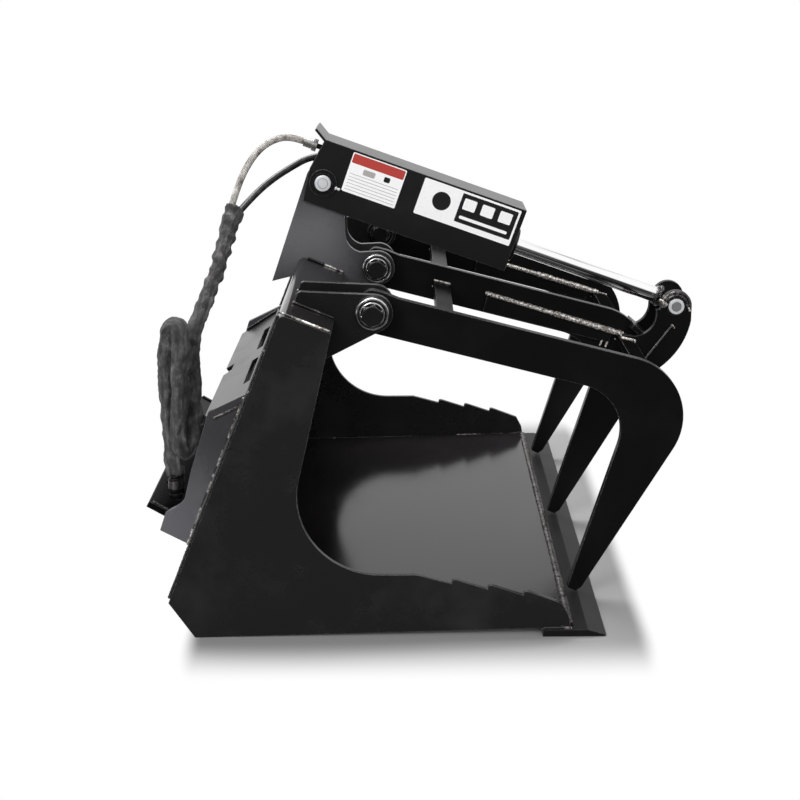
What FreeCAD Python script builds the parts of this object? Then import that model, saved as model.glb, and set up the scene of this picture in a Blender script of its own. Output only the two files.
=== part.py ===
import FreeCAD, Part
import math
import os

# Grapple bucket for a compact loader.
# Millimetres. +X is forward, to the cutting edge; +Z is up; the hoses hang on the -Y side of the centre.
# The side profile is drawn first about a working origin, and everything is then moved so that the
# bounding box is centred over the origin and stands on Z = 0.

V = FreeCAD.Vector

# Bucket plates
BUCKET_WIDTH = 1067.0
SIDE_PLATE = 8.0
SHELL_PLATE = 6.0
SHELL_BEND_RADIUS = 12.0
EDGE_REAR_X = 241.0
FLOOR_LAP = 45.0
HEEL_FLOOR = (-364.0, 0.0)
HEEL_BACK = (-407.0, 66.0)
BACK_TOP = (-196.0, 577.0)
FLANGE_FRONT = (-113.0, 543.0)
SIDE_FRONT_RADIUS = 139.0
SIDE_LOW_Z = 116.0
SIDE_LEAN = (-62.4, -259.0)
TOOTH_START = (22.0, 115.0)
TOOTH_PITCH = 62.0
TOOTH_COUNT = 4
TOOTH_RISE = 7.0
TOOTH_FLAT = 7.0
TOOTH_DROPS = (10.0, 11.0, 12.0)
TOOTH_BACK = 1.0
SIDE_NOSE = ((274.0, 59.0), (286.0, 36.0))
SIDE_NOSE_X = 290.0

# Cutting edge bar
EDGE_LENGTH = 110.0
EDGE_THICK = 12.7
EDGE_OVERHANG = 8.0
EDGE_BEVEL = 32.0
EDGE_LIP = 3.0

# Loader mount on the back
MOUNT_HALF_WIDTH = 347.0
GUSSET_PLATE = 10.0
TOP_PLATE_LENGTH = 103.0
TOP_PLATE_THICK = 8.0
TOP_PLATE_Z = 379.0
TOP_PLATE_ANGLE = 32.0
SLOT_LENGTH = 170.0
SLOT_WIDTH = 16.0
SLOT_COUNT = 2
SLOT_PITCH = 252.0
SLOT_INSET = 11.0
NOTCH_MIDDLE = 20.0
NOTCH_WIDTH = 50.0
NOTCH_DEPTH = 20.0
BOTTOM_FLANGE_LENGTH = 100.0
BOTTOM_FLANGE_THICK = 12.0
BOTTOM_FLANGE_Z = 128.0
BOTTOM_FLANGE_ANGLE = 31.0
LOCK_PIN_RADIUS = 15.0
LOCK_PIN_SPACING = 430.0
LOCK_PIN_INSET = 28.0
GUSSET_WAIST = ((-386.0, 240.0, 60.0), (-402.0, 180.0, 30.0), (-437.0, 160.0))
GUSSET_TAIL = (-449.0, 126.0)
GUSSET_LOW_Z = 96.0
GUSSET_HIGH_Z = 389.0
GUSSET_CREST = (-348.6, 353.2, 6.0)

# Jaw pivots
PIVOT = (-48.0, 553.0)
TINE_INSET = 149.5
BOLT_RADIUS = 11.1
BOLT_HEAD_FLATS = 33.3
BOLT_HEAD_HIGH = 14.0
BOLT_END = 6.0
WASHER_RADIUS = 22.0
WASHER_THICK = 3.0
BOSS_RADIUS = 28.0
BOSS_THICK = 12.0
BRACKET_PLATE = 10.0
BRACKET_GAP = 70.0
BRACKET_NOSE_RADIUS = 35.0
BRACKET_NOSE_TOP = (4.0, 31.0)
BRACKET_NOSE_ANGLE = -63.0
BRACKET_REAR = ((-182.6, 567.0), (-174.0, 588.5), (-169.5, 591.0))
BRACKET_FOOT_Z = 402.0

# Centre tower
BASE_PIN = (-148.0, 721.0)
TOWER_GAP = 76.0
TOWER_TOP_RADIUS = 35.0
TOWER_TAIL = (-254.0, 528.0)
TOWER_TAIL_RISE = 10.0
TOWER_NOSE_TOP = (4.0, 32.0)
TOWER_THROAT = ((-109.0, 656.0), (-108.0, 616.0), (-100.0, 596.0), (-80.0, 583.5))
TOWER_SPACER = 10.0
TOWER_SPACER_HIGH = 90.0
TOWER_SPACER_INSET = 4.0

# Tines
TINE_PLATE = 16.0
TINE_TOP_SLOPE = 15.0
TINE_TOP_OFFSET = 26.0
TINE_DEPTH = 70.0
TINE_END = 30.0
TINE_SHOULDER = (40.0, TINE_TOP_OFFSET)
TINE_REAR = (
    (-6.0, TINE_TOP_OFFSET - TINE_DEPTH, 24.0),
    (-TINE_END, -8.0, 6.0),
    (-TINE_END, 6.0, 8.0),
    (-14.0, TINE_END, 16.0),
    (12.0, TINE_END),
)
TINE_OUTER_CORNER = (555.6, 418.2)
TINE_OUTER_RADIUS = 113.0
TINE_INNER_CORNER = (409.8, 386.0)
TINE_INNER_RADIUS = 89.0
TINE_TIP = ((299.0, 25.0), (314.0, 17.0), (325.0, 25.0))
TINE_BUSH_RADIUS = 25.0
DOUBLER_PLATE = 8.0
DOUBLER_START = 228.0
DOUBLER_LENGTH = 262.0
DOUBLER_HIGH = 36.0
DOUBLER_DROP = 30.0
DOUBLER_TAPER = 12.0

# Cross bars between the tines
CROSS_BAR_WIDE = 32.0
CROSS_BAR_THICK = 12.0
REAR_BAR_PLACE = (79.0, 508.0)
FRONT_BAR_PLACE = (446.0, 396.0)

# Rod-end lugs on the jaw
ROD_PIN = (540.0, 470.0)
LUG_PLATE = 12.0
LUG_GAP = 80.0
LUG_RADIUS = 31.0
LUG_CREST = (190.0, 95.0, 0.0)
LUG_THROAT = ((502.0, 462.0), (492.0, 424.0), (457.0, 410.0))
LUG_HEEL = (436.0, 413.0)
LUG_TOE = ((446.0, 352.0), (486.0, 318.0))
LUG_FRONT = ((515.0, 346.0), (552.0, 388.0), (571.0, 440.0))
LUG_BRIDGE_THICK = 10.0
LUG_BRIDGE = ((462.0, 430.0), (499.0, 398.0))
PIN_HEAD_RADIUS = 15.5
PIN_HEAD_HIGH = 6.0

# Hydraulic cylinder, along its own axis from the base pin
BARREL_BORE = 25.4
BARREL_WALL = 4.8
BARREL_START = 26.0
BARREL_END = 366.0
BASE_PLUG = 22.0
BASE_TUBE_RADIUS = 27.0
GLAND_RADIUS = 33.0
GLAND_LENGTH = 31.0
ROD_RADIUS = 15.9
PISTON_START = 300.0
PISTON_LENGTH = 34.0
ROD_TUBE_RADIUS = 28.0
ROD_TUBE_OPENING = 8.0
PORT_RADIUS = 11.0
BASE_PORT_AT = 62.0
ROD_PORT_AT = 344.0
PORT_HIGH = 11.0

# Guard over the cylinder
GUARD_PLATE = 5.0
GUARD_FRONT = 388.0
GUARD_LOW = -46.0
GUARD_HIGH = 79.0
GUARD_REAR_LOW = -26.0
GUARD_REAR_MID = (-33.0, 18.0)
GUARD_REAR_TOP = -21.0
GUARD_FLARE = 27.0
GUARD_FLARE_ANGLE = 32.0
GUARD_END_PLATE = 6.0
GUARD_BOSS_RADIUS = 26.0
GUARD_BOSS_THICK = 7.0

# Clearances
TURN_FIT = 0.05
BOLT_FIT = 0.2
SIDE_PLAY = 0.5
GUARD_PLAY = 0.3
GUARD_GAP = 3.0

# Hoses
HOSE_DIAMETER = 13.0
SLEEVE_DIAMETER = 31.0
LINE_RADIUS = 5.0
FITTING_RADIUS = 9.5
FITTING_LENGTH = 26.0
UPPER_HOSE_SIDE = -14.0
LOWER_HOSE_SIDE = 14.0
LINE_HEIGHT = 57.0
LINE_REAR = -34.0
LINE_BEND = 14.0
FITTING_NUT_STEP = 2.5
FITTING_NUT_LENGTH = 9.0
ELBOW_STEM = 14.0
ELBOW_ARM_RADIUS = 8.5
ELBOW_COLLAR = 12.0
HOSE_GAP = 0.3
UPPER_ROUTE = (
    (-185.1, -14.0, 795.2),
    (-207.6, -14.0, 803.4),
    (-237.0, -18.5, 802.3),
    (-269.0, -30.0, 785.3),
    (-294.7, -49.2, 752.4),
    (-312.8, -72.2, 711.9),
    (-323.5, -99.0, 675.0),
)
LOWER_ROUTE = (
    (-128.0, 14.0, 766.0),
    (-172.0, 14.0, 764.0),
    (-216.0, 3.0, 742.0),
    (-254.0, -24.0, 720.0),
    (-284.0, -58.0, 696.0),
    (-307.0, -97.0, 673.0),
)
SLEEVE_ROUTE = (
    (-315.0, -95.0, 680.0),
    (-328.0, -131.0, 630.0),
    (-343.0, -169.0, 578.0),
    (-363.0, -208.0, 529.0),
    (-384.0, -246.0, 485.0),
)
HANK_STATIONS = (
    ((-396.0, -262.0, 512.0), 22.0, 20.0),
    ((-402.0, -272.0, 490.0), 34.0, 28.0),
    ((-404.0, -282.0, 420.0), 36.0, 31.0),
    ((-405.0, -284.0, 330.0), 36.0, 30.0),
    ((-416.0, -286.0, 255.0), 28.0, 28.0),
    ((-424.0, -286.0, 212.0), 18.0, 27.0),
)
HOSE_ROOM = 80.0
COUPLER_RADIUS = 13.0
COUPLER_LENGTH = 42.0
COUPLER_SPACING = 28.0
ARC_SHARE = 0.45

# Working allowances for cuts and outlines
OVERCUT = 1.0
SAME_POINT = 0.001


def xz(point, y=0.0):
    """A side-view point placed at a distance across the bucket."""
    return V(point[0], y, point[1])


def lean(angle):
    """The unit side-view direction at an angle above +X."""
    return math.cos(math.radians(angle)), math.sin(math.radians(angle))


def step(point, direction, distance):
    return point[0] + direction[0] * distance, point[1] + direction[1] * distance


def towards(start, end):
    span = math.hypot(end[0] - start[0], end[1] - start[1])
    return (end[0] - start[0]) / span, (end[1] - start[1]) / span


def rounded_outline(corners):
    """A closed side-view wire. Each corner is (x, z) or (x, z, radius)."""
    count = len(corners)
    edges = []
    ends = []
    for i in range(count):
        here = corners[i]
        before = corners[i - 1]
        after = corners[(i + 1) % count]
        radius = here[2] if len(here) > 2 else 0.0
        back = towards(here, before)
        ahead = towards(here, after)
        if radius == 0.0:
            ends.append((here, here, None))
            continue
        cosine = max(-1.0, min(1.0, back[0] * ahead[0] + back[1] * ahead[1]))
        half = math.acos(cosine) / 2.0
        reach = radius / math.tan(half)
        middle = towards((0.0, 0.0), (back[0] + ahead[0], back[1] + ahead[1]))
        crest = step(here, middle, radius / math.sin(half) - radius)
        ends.append((step(here, back, reach), step(here, ahead, reach), crest))
    for i in range(count):
        first, last, crest = ends[i]
        if crest is not None:
            edges.append(Part.Arc(xz(first), xz(crest), xz(last)).toShape())
        following = ends[(i + 1) % count][0]
        if math.hypot(following[0] - last[0], following[1] - last[1]) > SAME_POINT:
            edges.append(Part.LineSegment(xz(last), xz(following)).toShape())
    return Part.Wire(edges)


def plate(outline, low_y, high_y):
    """A flat plate of a side-view outline, from low_y to high_y."""
    face = Part.Face(outline)
    solid = face.extrude(V(0, high_y - low_y, 0))
    solid.translate(V(0, low_y, 0))
    return solid


def across(point, radius, low_y, high_y):
    """A round bar across the bucket."""
    return Part.makeCylinder(radius, high_y - low_y, xz(point, low_y), V(0, 1, 0))


def ring_across(point, radius, bore, low_y, high_y):
    return across(point, radius, low_y, high_y).cut(across(point, bore, low_y, high_y))


def hexagon_across(point, flats, low_y, high_y):
    """A hexagonal bar across the bucket."""
    radius = flats / math.sqrt(3.0)
    corners = [step(point, lean(60.0 * i), radius) for i in range(6)]
    return plate(rounded_outline(corners), low_y, high_y)


def group(shapes):
    return Part.makeCompound(shapes)


# Directions and lines of the side profile
back_way = towards(HEEL_BACK, BACK_TOP)
back_out = (-back_way[1], back_way[0])
side_inside = BUCKET_WIDTH / 2.0 - SIDE_PLATE
tine_offset = BUCKET_WIDTH / 2.0 - TINE_INSET


def back_x(z):
    """The outer face of the back sheet at a height."""
    return HEEL_BACK[0] + (z - HEEL_BACK[1]) * back_way[0] / back_way[1]


def bucket_shell():
    """Floor, heel, back sheet and top flange, bent from one plate."""
    outer = [
        (EDGE_REAR_X + FLOOR_LAP, EDGE_THICK),
        (EDGE_REAR_X, EDGE_THICK),
        HEEL_FLOOR + (SHELL_BEND_RADIUS,),
        HEEL_BACK + (SHELL_BEND_RADIUS,),
        BACK_TOP + (SHELL_BEND_RADIUS,),
        FLANGE_FRONT,
    ]
    inner = []
    for i in range(len(outer)):
        here = outer[i]
        ways = []
        if i > 0:
            ways.append(towards(outer[i - 1], here))
        if i < len(outer) - 1:
            ways.append(towards(here, outer[i + 1]))
        normals = [(way[1], -way[0]) for way in ways]
        if len(normals) == 1:
            inner.append(step(here, normals[0], SHELL_PLATE))
            continue
        mid = towards((0.0, 0.0), (normals[0][0] + normals[1][0], normals[0][1] + normals[1][1]))
        stretch = SHELL_PLATE / (mid[0] * normals[0][0] + mid[1] * normals[0][1])
        bend = (SHELL_BEND_RADIUS - SHELL_PLATE,) if len(here) > 2 else ()
        inner.append(step(here, mid, stretch) + bend)
    outline = rounded_outline(outer + inner[::-1])
    return plate(outline, -side_inside, side_inside)


def side_outline():
    """The side plate: leaning throat, round corner, saw teeth and a nose down to the cutting edge."""
    lean_run = (FLANGE_FRONT[1] - SIDE_LOW_Z) * SIDE_LEAN[0] / -SIDE_LEAN[1]
    throat = (FLANGE_FRONT[0] + lean_run, SIDE_LOW_Z, SIDE_FRONT_RADIUS)
    corners = [
        (EDGE_REAR_X, EDGE_THICK),
        HEEL_FLOOR,
        HEEL_BACK,
        BACK_TOP + (SHELL_BEND_RADIUS,),
        FLANGE_FRONT,
        throat,
        TOOTH_START,
    ]
    x, z = TOOTH_START
    for i in range(TOOTH_COUNT - 1):
        x += TOOTH_PITCH
        z -= TOOTH_DROPS[i]
        corners.append((x - TOOTH_BACK, z - TOOTH_RISE))
        corners.append((x + TOOTH_BACK, z))
        corners.append((x + TOOTH_FLAT, z))
    corners.extend(SIDE_NOSE)
    corners.append((SIDE_NOSE_X, EDGE_THICK))
    return rounded_outline(corners)


def side_plate(side):
    inside = side * side_inside
    outside = side * BUCKET_WIDTH / 2.0
    return plate(side_outline(), min(inside, outside), max(inside, outside))


def cutting_edge():
    """Bevelled bar, welded under the side plates and under the lap of the floor."""
    front = EDGE_REAR_X + EDGE_LENGTH
    half = BUCKET_WIDTH / 2.0 + EDGE_OVERHANG
    outline = rounded_outline([
        (EDGE_REAR_X, 0.0),
        (EDGE_REAR_X, EDGE_THICK),
        (front - EDGE_BEVEL, EDGE_THICK),
        (front, EDGE_LIP),
        (front - EDGE_LIP, 0.0),
    ])
    return plate(outline, -half, half)


# Loader mount
top_way = lean(180.0 + TOP_PLATE_ANGLE)
top_root = (back_x(TOP_PLATE_Z), TOP_PLATE_Z)
top_edge = step(top_root, top_way, TOP_PLATE_LENGTH)
flange_way = lean(180.0 - BOTTOM_FLANGE_ANGLE)
flange_root = (back_x(BOTTOM_FLANGE_Z), BOTTOM_FLANGE_Z)
flange_edge = step(flange_root, flange_way, BOTTOM_FLANGE_LENGTH)
mount_inside = MOUNT_HALF_WIDTH - GUSSET_PLATE


def strip(root, way, length, thick):
    """A flat strip from the back sheet, its top face on the line and its root cut to the sheet."""
    under = (way[1], -way[0])
    if under[1] > 0.0:
        under = (-under[0], -under[1])
    low_edge = step(step(root, way, length), under, thick)
    drop = step(root, under, thick)
    run = ((back_x(drop[1]) - drop[0]) * back_way[1])
    slide = run / (way[0] * back_way[1] - way[1] * back_way[0])
    low_root = step(drop, way, slide)
    return [root, step(root, way, length), low_edge, low_root]


def mount_top_plate():
    """Sloping lip for the loader's plate, with two windows at its root and one notch."""
    outline = rounded_outline(strip(top_root, top_way, TOP_PLATE_LENGTH, TOP_PLATE_THICK))
    solid = plate(outline, -mount_inside, mount_inside)
    near = step(top_root, top_way, SLOT_INSET)
    far = step(near, top_way, SLOT_WIDTH)
    upright = (top_way[1], -top_way[0])
    reach = 2.0 * TOP_PLATE_THICK
    for i in range(SLOT_COUNT):
        middle = SLOT_PITCH * (i - (SLOT_COUNT - 1) / 2.0)
        corners = [
            step(near, upright, -reach),
            step(near, upright, reach),
            step(far, upright, reach),
            step(far, upright, -reach),
        ]
        slot = plate(rounded_outline(corners), middle - SLOT_LENGTH / 2.0, middle + SLOT_LENGTH / 2.0)
        solid = solid.cut(slot)
    lip = step(top_edge, top_way, -NOTCH_DEPTH)
    beyond = step(top_edge, top_way, NOTCH_DEPTH)
    corners = [
        step(lip, upright, -reach),
        step(lip, upright, reach),
        step(beyond, upright, reach),
        step(beyond, upright, -reach),
    ]
    low, high = NOTCH_MIDDLE - NOTCH_WIDTH / 2.0, NOTCH_MIDDLE + NOTCH_WIDTH / 2.0
    return solid.cut(plate(rounded_outline(corners), low, high))


def mount_bottom_flange():
    """Rising shelf with the two holes that the loader's locking pins drop through."""
    outline = rounded_outline(strip(flange_root, flange_way, BOTTOM_FLANGE_LENGTH, BOTTOM_FLANGE_THICK))
    solid = plate(outline, -mount_inside, mount_inside)
    place = step(flange_edge, flange_way, -LOCK_PIN_INSET)
    upright = (flange_way[1], -flange_way[0])
    for side in (-1, 1):
        middle = xz(step(place, upright, -2.0 * BOTTOM_FLANGE_THICK), side * LOCK_PIN_SPACING / 2.0)
        hole = Part.makeCylinder(LOCK_PIN_RADIUS, 4.0 * BOTTOM_FLANGE_THICK, middle, xz(upright))
        solid = solid.cut(hole)
    return solid


def mount_gusset(side):
    """End plate of the mount, proud of the lip and waisted on its rear edge."""
    low_root = (back_x(GUSSET_LOW_Z), GUSSET_LOW_Z)
    high_root = (back_x(GUSSET_HIGH_Z), GUSSET_HIGH_Z)
    outline = rounded_outline([high_root, GUSSET_CREST, *GUSSET_WAIST, GUSSET_TAIL, low_root])
    inner = side * mount_inside
    outer = side * MOUNT_HALF_WIDTH
    return plate(outline, min(inner, outer), max(inner, outer))


# Brackets and tower
def behind_shell():
    """The room behind the back sheet, which the bracket plates stop at."""
    return plate(rounded_outline([
        HEEL_BACK,
        step(HEEL_BACK, back_out, BUCKET_WIDTH),
        step(BACK_TOP, back_out, BUCKET_WIDTH),
        BACK_TOP,
    ]), -BUCKET_WIDTH, BUCKET_WIDTH)


def bracket_outline():
    down = step(PIVOT, lean(BRACKET_NOSE_ANGLE), BRACKET_NOSE_RADIUS)
    foot = (back_x(BRACKET_FOOT_Z), BRACKET_FOOT_Z)
    nose_top = (PIVOT[0] + BRACKET_NOSE_TOP[0], PIVOT[1] + BRACKET_NOSE_TOP[1])
    front = Part.Arc(xz(nose_top), xz((PIVOT[0] + BRACKET_NOSE_RADIUS, PIVOT[1])), xz(down))
    points = [down, foot, (back_x(BACK_TOP[1]), BACK_TOP[1]), *BRACKET_REAR, nose_top]
    edges = [front.toShape()]
    for i in range(len(points) - 1):
        edges.append(Part.LineSegment(xz(points[i]), xz(points[i + 1])).toShape())
    return Part.Wire(edges)


def bracket(low_y, shell):
    """Jaw bracket plate, notched over the top flange and welded down the back sheet."""
    high_y = low_y + BRACKET_PLATE
    solid = plate(bracket_outline(), low_y, high_y)
    solid = solid.cut(across(PIVOT, BOLT_RADIUS + BOLT_FIT, low_y - OVERCUT, high_y + OVERCUT))
    return main_solid(solid.cut(shell))


def main_solid(shape):
    """The largest solid left after a cut."""
    return max(shape.Solids, key=lambda solid: solid.Volume)


def tower_outline():
    down = step(PIVOT, lean(BRACKET_NOSE_ANGLE), BRACKET_NOSE_RADIUS)
    foot = (back_x(BRACKET_FOOT_Z), BRACKET_FOOT_Z)
    rear_way = towards(TOWER_TAIL, BASE_PIN)
    rear_out = (-rear_way[1], rear_way[0])
    crown_rear = step(BASE_PIN, rear_out, TOWER_TOP_RADIUS)
    crown = step(BASE_PIN, rear_way, TOWER_TOP_RADIUS)
    crown_front = step(BASE_PIN, rear_out, -TOWER_TOP_RADIUS)
    throat_top, throat_bend, throat_mid, throat_low = TOWER_THROAT
    nose_top = (PIVOT[0] + TOWER_NOSE_TOP[0], PIVOT[1] + TOWER_NOSE_TOP[1])
    edges = [
        Part.Arc(xz(crown_rear), xz(crown), xz(crown_front)).toShape(),
        Part.LineSegment(xz(crown_front), xz(throat_top)).toShape(),
        Part.LineSegment(xz(throat_top), xz(throat_bend)).toShape(),
        Part.Arc(xz(throat_bend), xz(throat_mid), xz(throat_low)).toShape(),
        Part.LineSegment(xz(throat_low), xz(nose_top)).toShape(),
        Part.Arc(xz(nose_top), xz((PIVOT[0] + BRACKET_NOSE_RADIUS, PIVOT[1])), xz(down)).toShape(),
        Part.LineSegment(xz(down), xz(foot)).toShape(),
    ]
    seat_z = TOWER_TAIL[1] + TOWER_TAIL_RISE
    tail_seat = (back_x(seat_z), seat_z)
    for start, end in ((foot, tail_seat), (tail_seat, TOWER_TAIL), (TOWER_TAIL, crown_rear)):
        edges.append(Part.LineSegment(xz(start), xz(end)).toShape())
    return Part.Wire(edges)


def tower(side, shell):
    """One cheek of the centre tower. It carries the centre pivot and the cylinder's base pin."""
    inner = side * TOWER_GAP / 2.0
    outer = side * (TOWER_GAP / 2.0 + BRACKET_PLATE)
    low, high = min(inner, outer), max(inner, outer)
    solid = plate(tower_outline(), low, high)
    for place in (PIVOT, BASE_PIN):
        solid = solid.cut(across(place, BOLT_RADIUS + BOLT_FIT, low - OVERCUT, high + OVERCUT))
    return main_solid(solid.cut(shell))


def tower_spacer():
    """Plate between the cheeks along their rear edge."""
    way = towards(TOWER_TAIL, BASE_PIN)
    inward = (way[1], -way[0])
    start = step(step(BACK_TOP, inward, TOWER_SPACER_INSET), way, TOWER_SPACER_INSET)
    corners = [
        start,
        step(start, way, TOWER_SPACER_HIGH),
        step(step(start, way, TOWER_SPACER_HIGH), inward, TOWER_SPACER),
        step(start, inward, TOWER_SPACER),
    ]
    return plate(rounded_outline(corners), -TOWER_GAP / 2.0, TOWER_GAP / 2.0)


pair_half = BRACKET_GAP / 2.0 + BRACKET_PLATE
tower_half = TOWER_GAP / 2.0 + BRACKET_PLATE
guard_inside = tower_half + GUARD_GAP
PIVOT_STATIONS = (
    ("near", -tine_offset, pair_half),
    ("centre", 0.0, tower_half),
    ("far", tine_offset, pair_half),
)


def pivot_bosses():
    rings = []
    for _, middle, half in PIVOT_STATIONS:
        for side in (-1, 1):
            face = middle + side * half
            outer = face + side * BOSS_THICK
            low, high = min(face, outer), max(face, outer)
            rings.append(ring_across(PIVOT, BOSS_RADIUS, BOLT_RADIUS + BOLT_FIT, low, high))
    return group(rings)


def pivot_bolt(middle, half):
    """Hexagon bolt with its head on the near side."""
    reach = half + BOSS_THICK + WASHER_THICK
    shank = across(PIVOT, BOLT_RADIUS, middle - reach, middle + reach + BOLT_HEAD_HIGH + BOLT_END)
    head = hexagon_across(PIVOT, BOLT_HEAD_FLATS, middle - reach - BOLT_HEAD_HIGH, middle - reach)
    return head.fuse(shank).removeSplitter()


def pivot_washers():
    rings = []
    for _, middle, half in PIVOT_STATIONS:
        for side in (-1, 1):
            face = middle + side * (half + BOSS_THICK)
            outer = face + side * WASHER_THICK
            low, high = min(face, outer), max(face, outer)
            rings.append(ring_across(PIVOT, WASHER_RADIUS, BOLT_RADIUS + BOLT_FIT, low, high))
    return group(rings)


def pivot_nuts():
    nuts = []
    for _, middle, half in PIVOT_STATIONS:
        low = middle + half + BOSS_THICK + WASHER_THICK
        high = low + BOLT_HEAD_HIGH
        nut = hexagon_across(PIVOT, BOLT_HEAD_FLATS, low, high)
        nuts.append(nut.cut(across(PIVOT, BOLT_RADIUS + TURN_FIT, low - OVERCUT, high + OVERCUT)))
    return group(nuts)


# Jaw
def tine_outline():
    """Hook profile: straight arm, wide outer bend, tighter inner bend and a blunt point."""
    way = lean(-TINE_TOP_SLOPE)
    up = (-way[1], way[0])
    rear = []
    for reach, rise, *radius in TINE_REAR:
        rear.append(step(step(PIVOT, way, reach), up, rise) + tuple(radius))
    return rounded_outline([
        step(step(PIVOT, way, TINE_SHOULDER[0]), up, TINE_SHOULDER[1]),
        TINE_OUTER_CORNER + (TINE_OUTER_RADIUS,),
        TINE_TIP[2],
        TINE_TIP[1],
        TINE_TIP[0],
        TINE_INNER_CORNER + (TINE_INNER_RADIUS,),
        *rear,
    ])


def tine(middle):
    low, high = middle - TINE_PLATE / 2.0, middle + TINE_PLATE / 2.0
    solid = plate(tine_outline(), low, high)
    return solid.cut(across(PIVOT, TINE_BUSH_RADIUS, low - OVERCUT, high + OVERCUT))


def tine_bushes():
    tubes = []
    for _, middle, half in PIVOT_STATIONS:
        reach = half - BRACKET_PLATE - SIDE_PLAY
        low, high = middle - reach, middle + reach
        tubes.append(ring_across(PIVOT, TINE_BUSH_RADIUS, BOLT_RADIUS + TURN_FIT, low, high))
    return group(tubes)


def cross_bar(place, angle, near_side):
    """Flat bar welded between two neighbouring tines."""
    way = lean(angle)
    up = (-way[1], way[0])
    corners = []
    for along, rise in ((-1, -1), (1, -1), (1, 1), (-1, 1)):
        corner = step(place, way, along * CROSS_BAR_WIDE / 2.0)
        corners.append(step(corner, up, rise * CROSS_BAR_THICK / 2.0))
    face = TINE_PLATE / 2.0
    low, high = -tine_offset + face, -face
    if not near_side:
        low, high = -high, -low
    return plate(rounded_outline(corners), low, high)


def cross_bars(place, angle):
    return group([cross_bar(place, angle, True), cross_bar(place, angle, False)])


def doublers():
    """Tapered stiffening strips along the arms, on the near face."""
    way = lean(-TINE_TOP_SLOPE)
    up = (-way[1], way[0])
    start = step(step(PIVOT, way, DOUBLER_START), up, TINE_TOP_OFFSET - DOUBLER_DROP)
    end = step(start, way, DOUBLER_LENGTH)
    low_start = step(start, up, -DOUBLER_HIGH)
    low_end = step(end, up, -DOUBLER_HIGH)
    corners = [start, step(end, up, -DOUBLER_TAPER), low_end, low_start]
    strips = []
    for middle in (0.0, tine_offset):
        face = middle - TINE_PLATE / 2.0
        strips.append(plate(rounded_outline(corners), face - DOUBLER_PLATE, face))
    return group(strips)


def lug_outline():
    start, crest, end = [step(ROD_PIN, lean(angle), LUG_RADIUS) for angle in LUG_CREST]
    throat_top, throat_mid, throat_low = LUG_THROAT
    front_low, front_mid, front_top = LUG_FRONT
    edges = [
        Part.Arc(xz(start), xz(crest), xz(end)).toShape(),
        Part.LineSegment(xz(end), xz(front_top)).toShape(),
        Part.Arc(xz(front_top), xz(front_mid), xz(front_low)).toShape(),
    ]
    points = [front_low, LUG_TOE[1], LUG_TOE[0], LUG_HEEL, throat_low]
    for i in range(len(points) - 1):
        edges.append(Part.LineSegment(xz(points[i]), xz(points[i + 1])).toShape())
    edges.append(Part.Arc(xz(throat_low), xz(throat_mid), xz(throat_top)).toShape())
    edges.append(Part.LineSegment(xz(throat_top), xz(start)).toShape())
    return Part.Wire(edges)


def lug(side, bars):
    """Rod-end lug, notched over the front cross bar."""
    inner = side * LUG_GAP / 2.0
    outer = side * (LUG_GAP / 2.0 + LUG_PLATE)
    low, high = min(inner, outer), max(inner, outer)
    solid = plate(lug_outline(), low, high)
    solid = solid.cut(across(ROD_PIN, BOLT_RADIUS + BOLT_FIT, low - OVERCUT, high + OVERCUT))
    return main_solid(solid.cut(bars))


def lug_bridge(centre_tine):
    """Short plate that ties the two lugs over the centre tine's bend."""
    start, end = LUG_BRIDGE
    way = towards(start, end)
    down = (way[1], -way[0])
    corners = [start, end, step(end, down, LUG_BRIDGE_THICK), step(start, down, LUG_BRIDGE_THICK)]
    solid = plate(rounded_outline(corners), -LUG_GAP / 2.0, LUG_GAP / 2.0)
    return solid.cut(centre_tine)


def headed_pin(place, half):
    """Plain pin with a low head at each end."""
    shank = across(place, BOLT_RADIUS, -half, half)
    near = across(place, PIN_HEAD_RADIUS, -half - PIN_HEAD_HIGH, -half)
    far = across(place, PIN_HEAD_RADIUS, half, half + PIN_HEAD_HIGH)
    return shank.fuse([near, far]).removeSplitter()


# Cylinder, modelled along +X from the base pin and then swung to its line
cylinder_span = math.hypot(ROD_PIN[0] - BASE_PIN[0], ROD_PIN[1] - BASE_PIN[1])
cylinder_angle = math.degrees(math.atan2(ROD_PIN[1] - BASE_PIN[1], ROD_PIN[0] - BASE_PIN[0]))


def swing(shape):
    """Move a shape from the cylinder's own frame to its place on the bucket."""
    moved = shape.copy()
    moved.rotate(V(0, 0, 0), V(0, -1, 0), cylinder_angle)
    moved.translate(xz(BASE_PIN))
    return moved


def along(radius, start, end):
    return Part.makeCylinder(radius, end - start, V(start, 0, 0), V(1, 0, 0))


def upright_bar(radius, x, y, low, high):
    return Part.makeCylinder(radius, high - low, V(x, y, low), V(0, 0, 1))


def barrel():
    """Closed tube with its base plug and the two port pads."""
    outer = BARREL_BORE + BARREL_WALL
    solid = along(outer, BARREL_START, BARREL_END)
    for at, y in ((BASE_PORT_AT, LOWER_HOSE_SIDE), (ROD_PORT_AT, UPPER_HOSE_SIDE)):
        solid = solid.fuse(upright_bar(PORT_RADIUS, at, y, BARREL_BORE, outer + PORT_HIGH - BARREL_WALL))
    solid = solid.cut(along(BARREL_BORE, BARREL_START + BASE_PLUG, BARREL_END + OVERCUT))
    solid = solid.cut(across((0.0, 0.0), BASE_TUBE_RADIUS, -guard_inside, guard_inside))
    return swing(main_solid(solid))


def base_tube():
    half = TOWER_GAP / 2.0 - SIDE_PLAY
    return swing(ring_across((0.0, 0.0), BASE_TUBE_RADIUS, BOLT_RADIUS + TURN_FIT, -half, half))


def gland():
    end = BARREL_END + GLAND_LENGTH
    solid = along(GLAND_RADIUS, BARREL_END, end)
    return swing(solid.cut(along(ROD_RADIUS + TURN_FIT, BARREL_END - OVERCUT, end + OVERCUT)))


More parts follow.
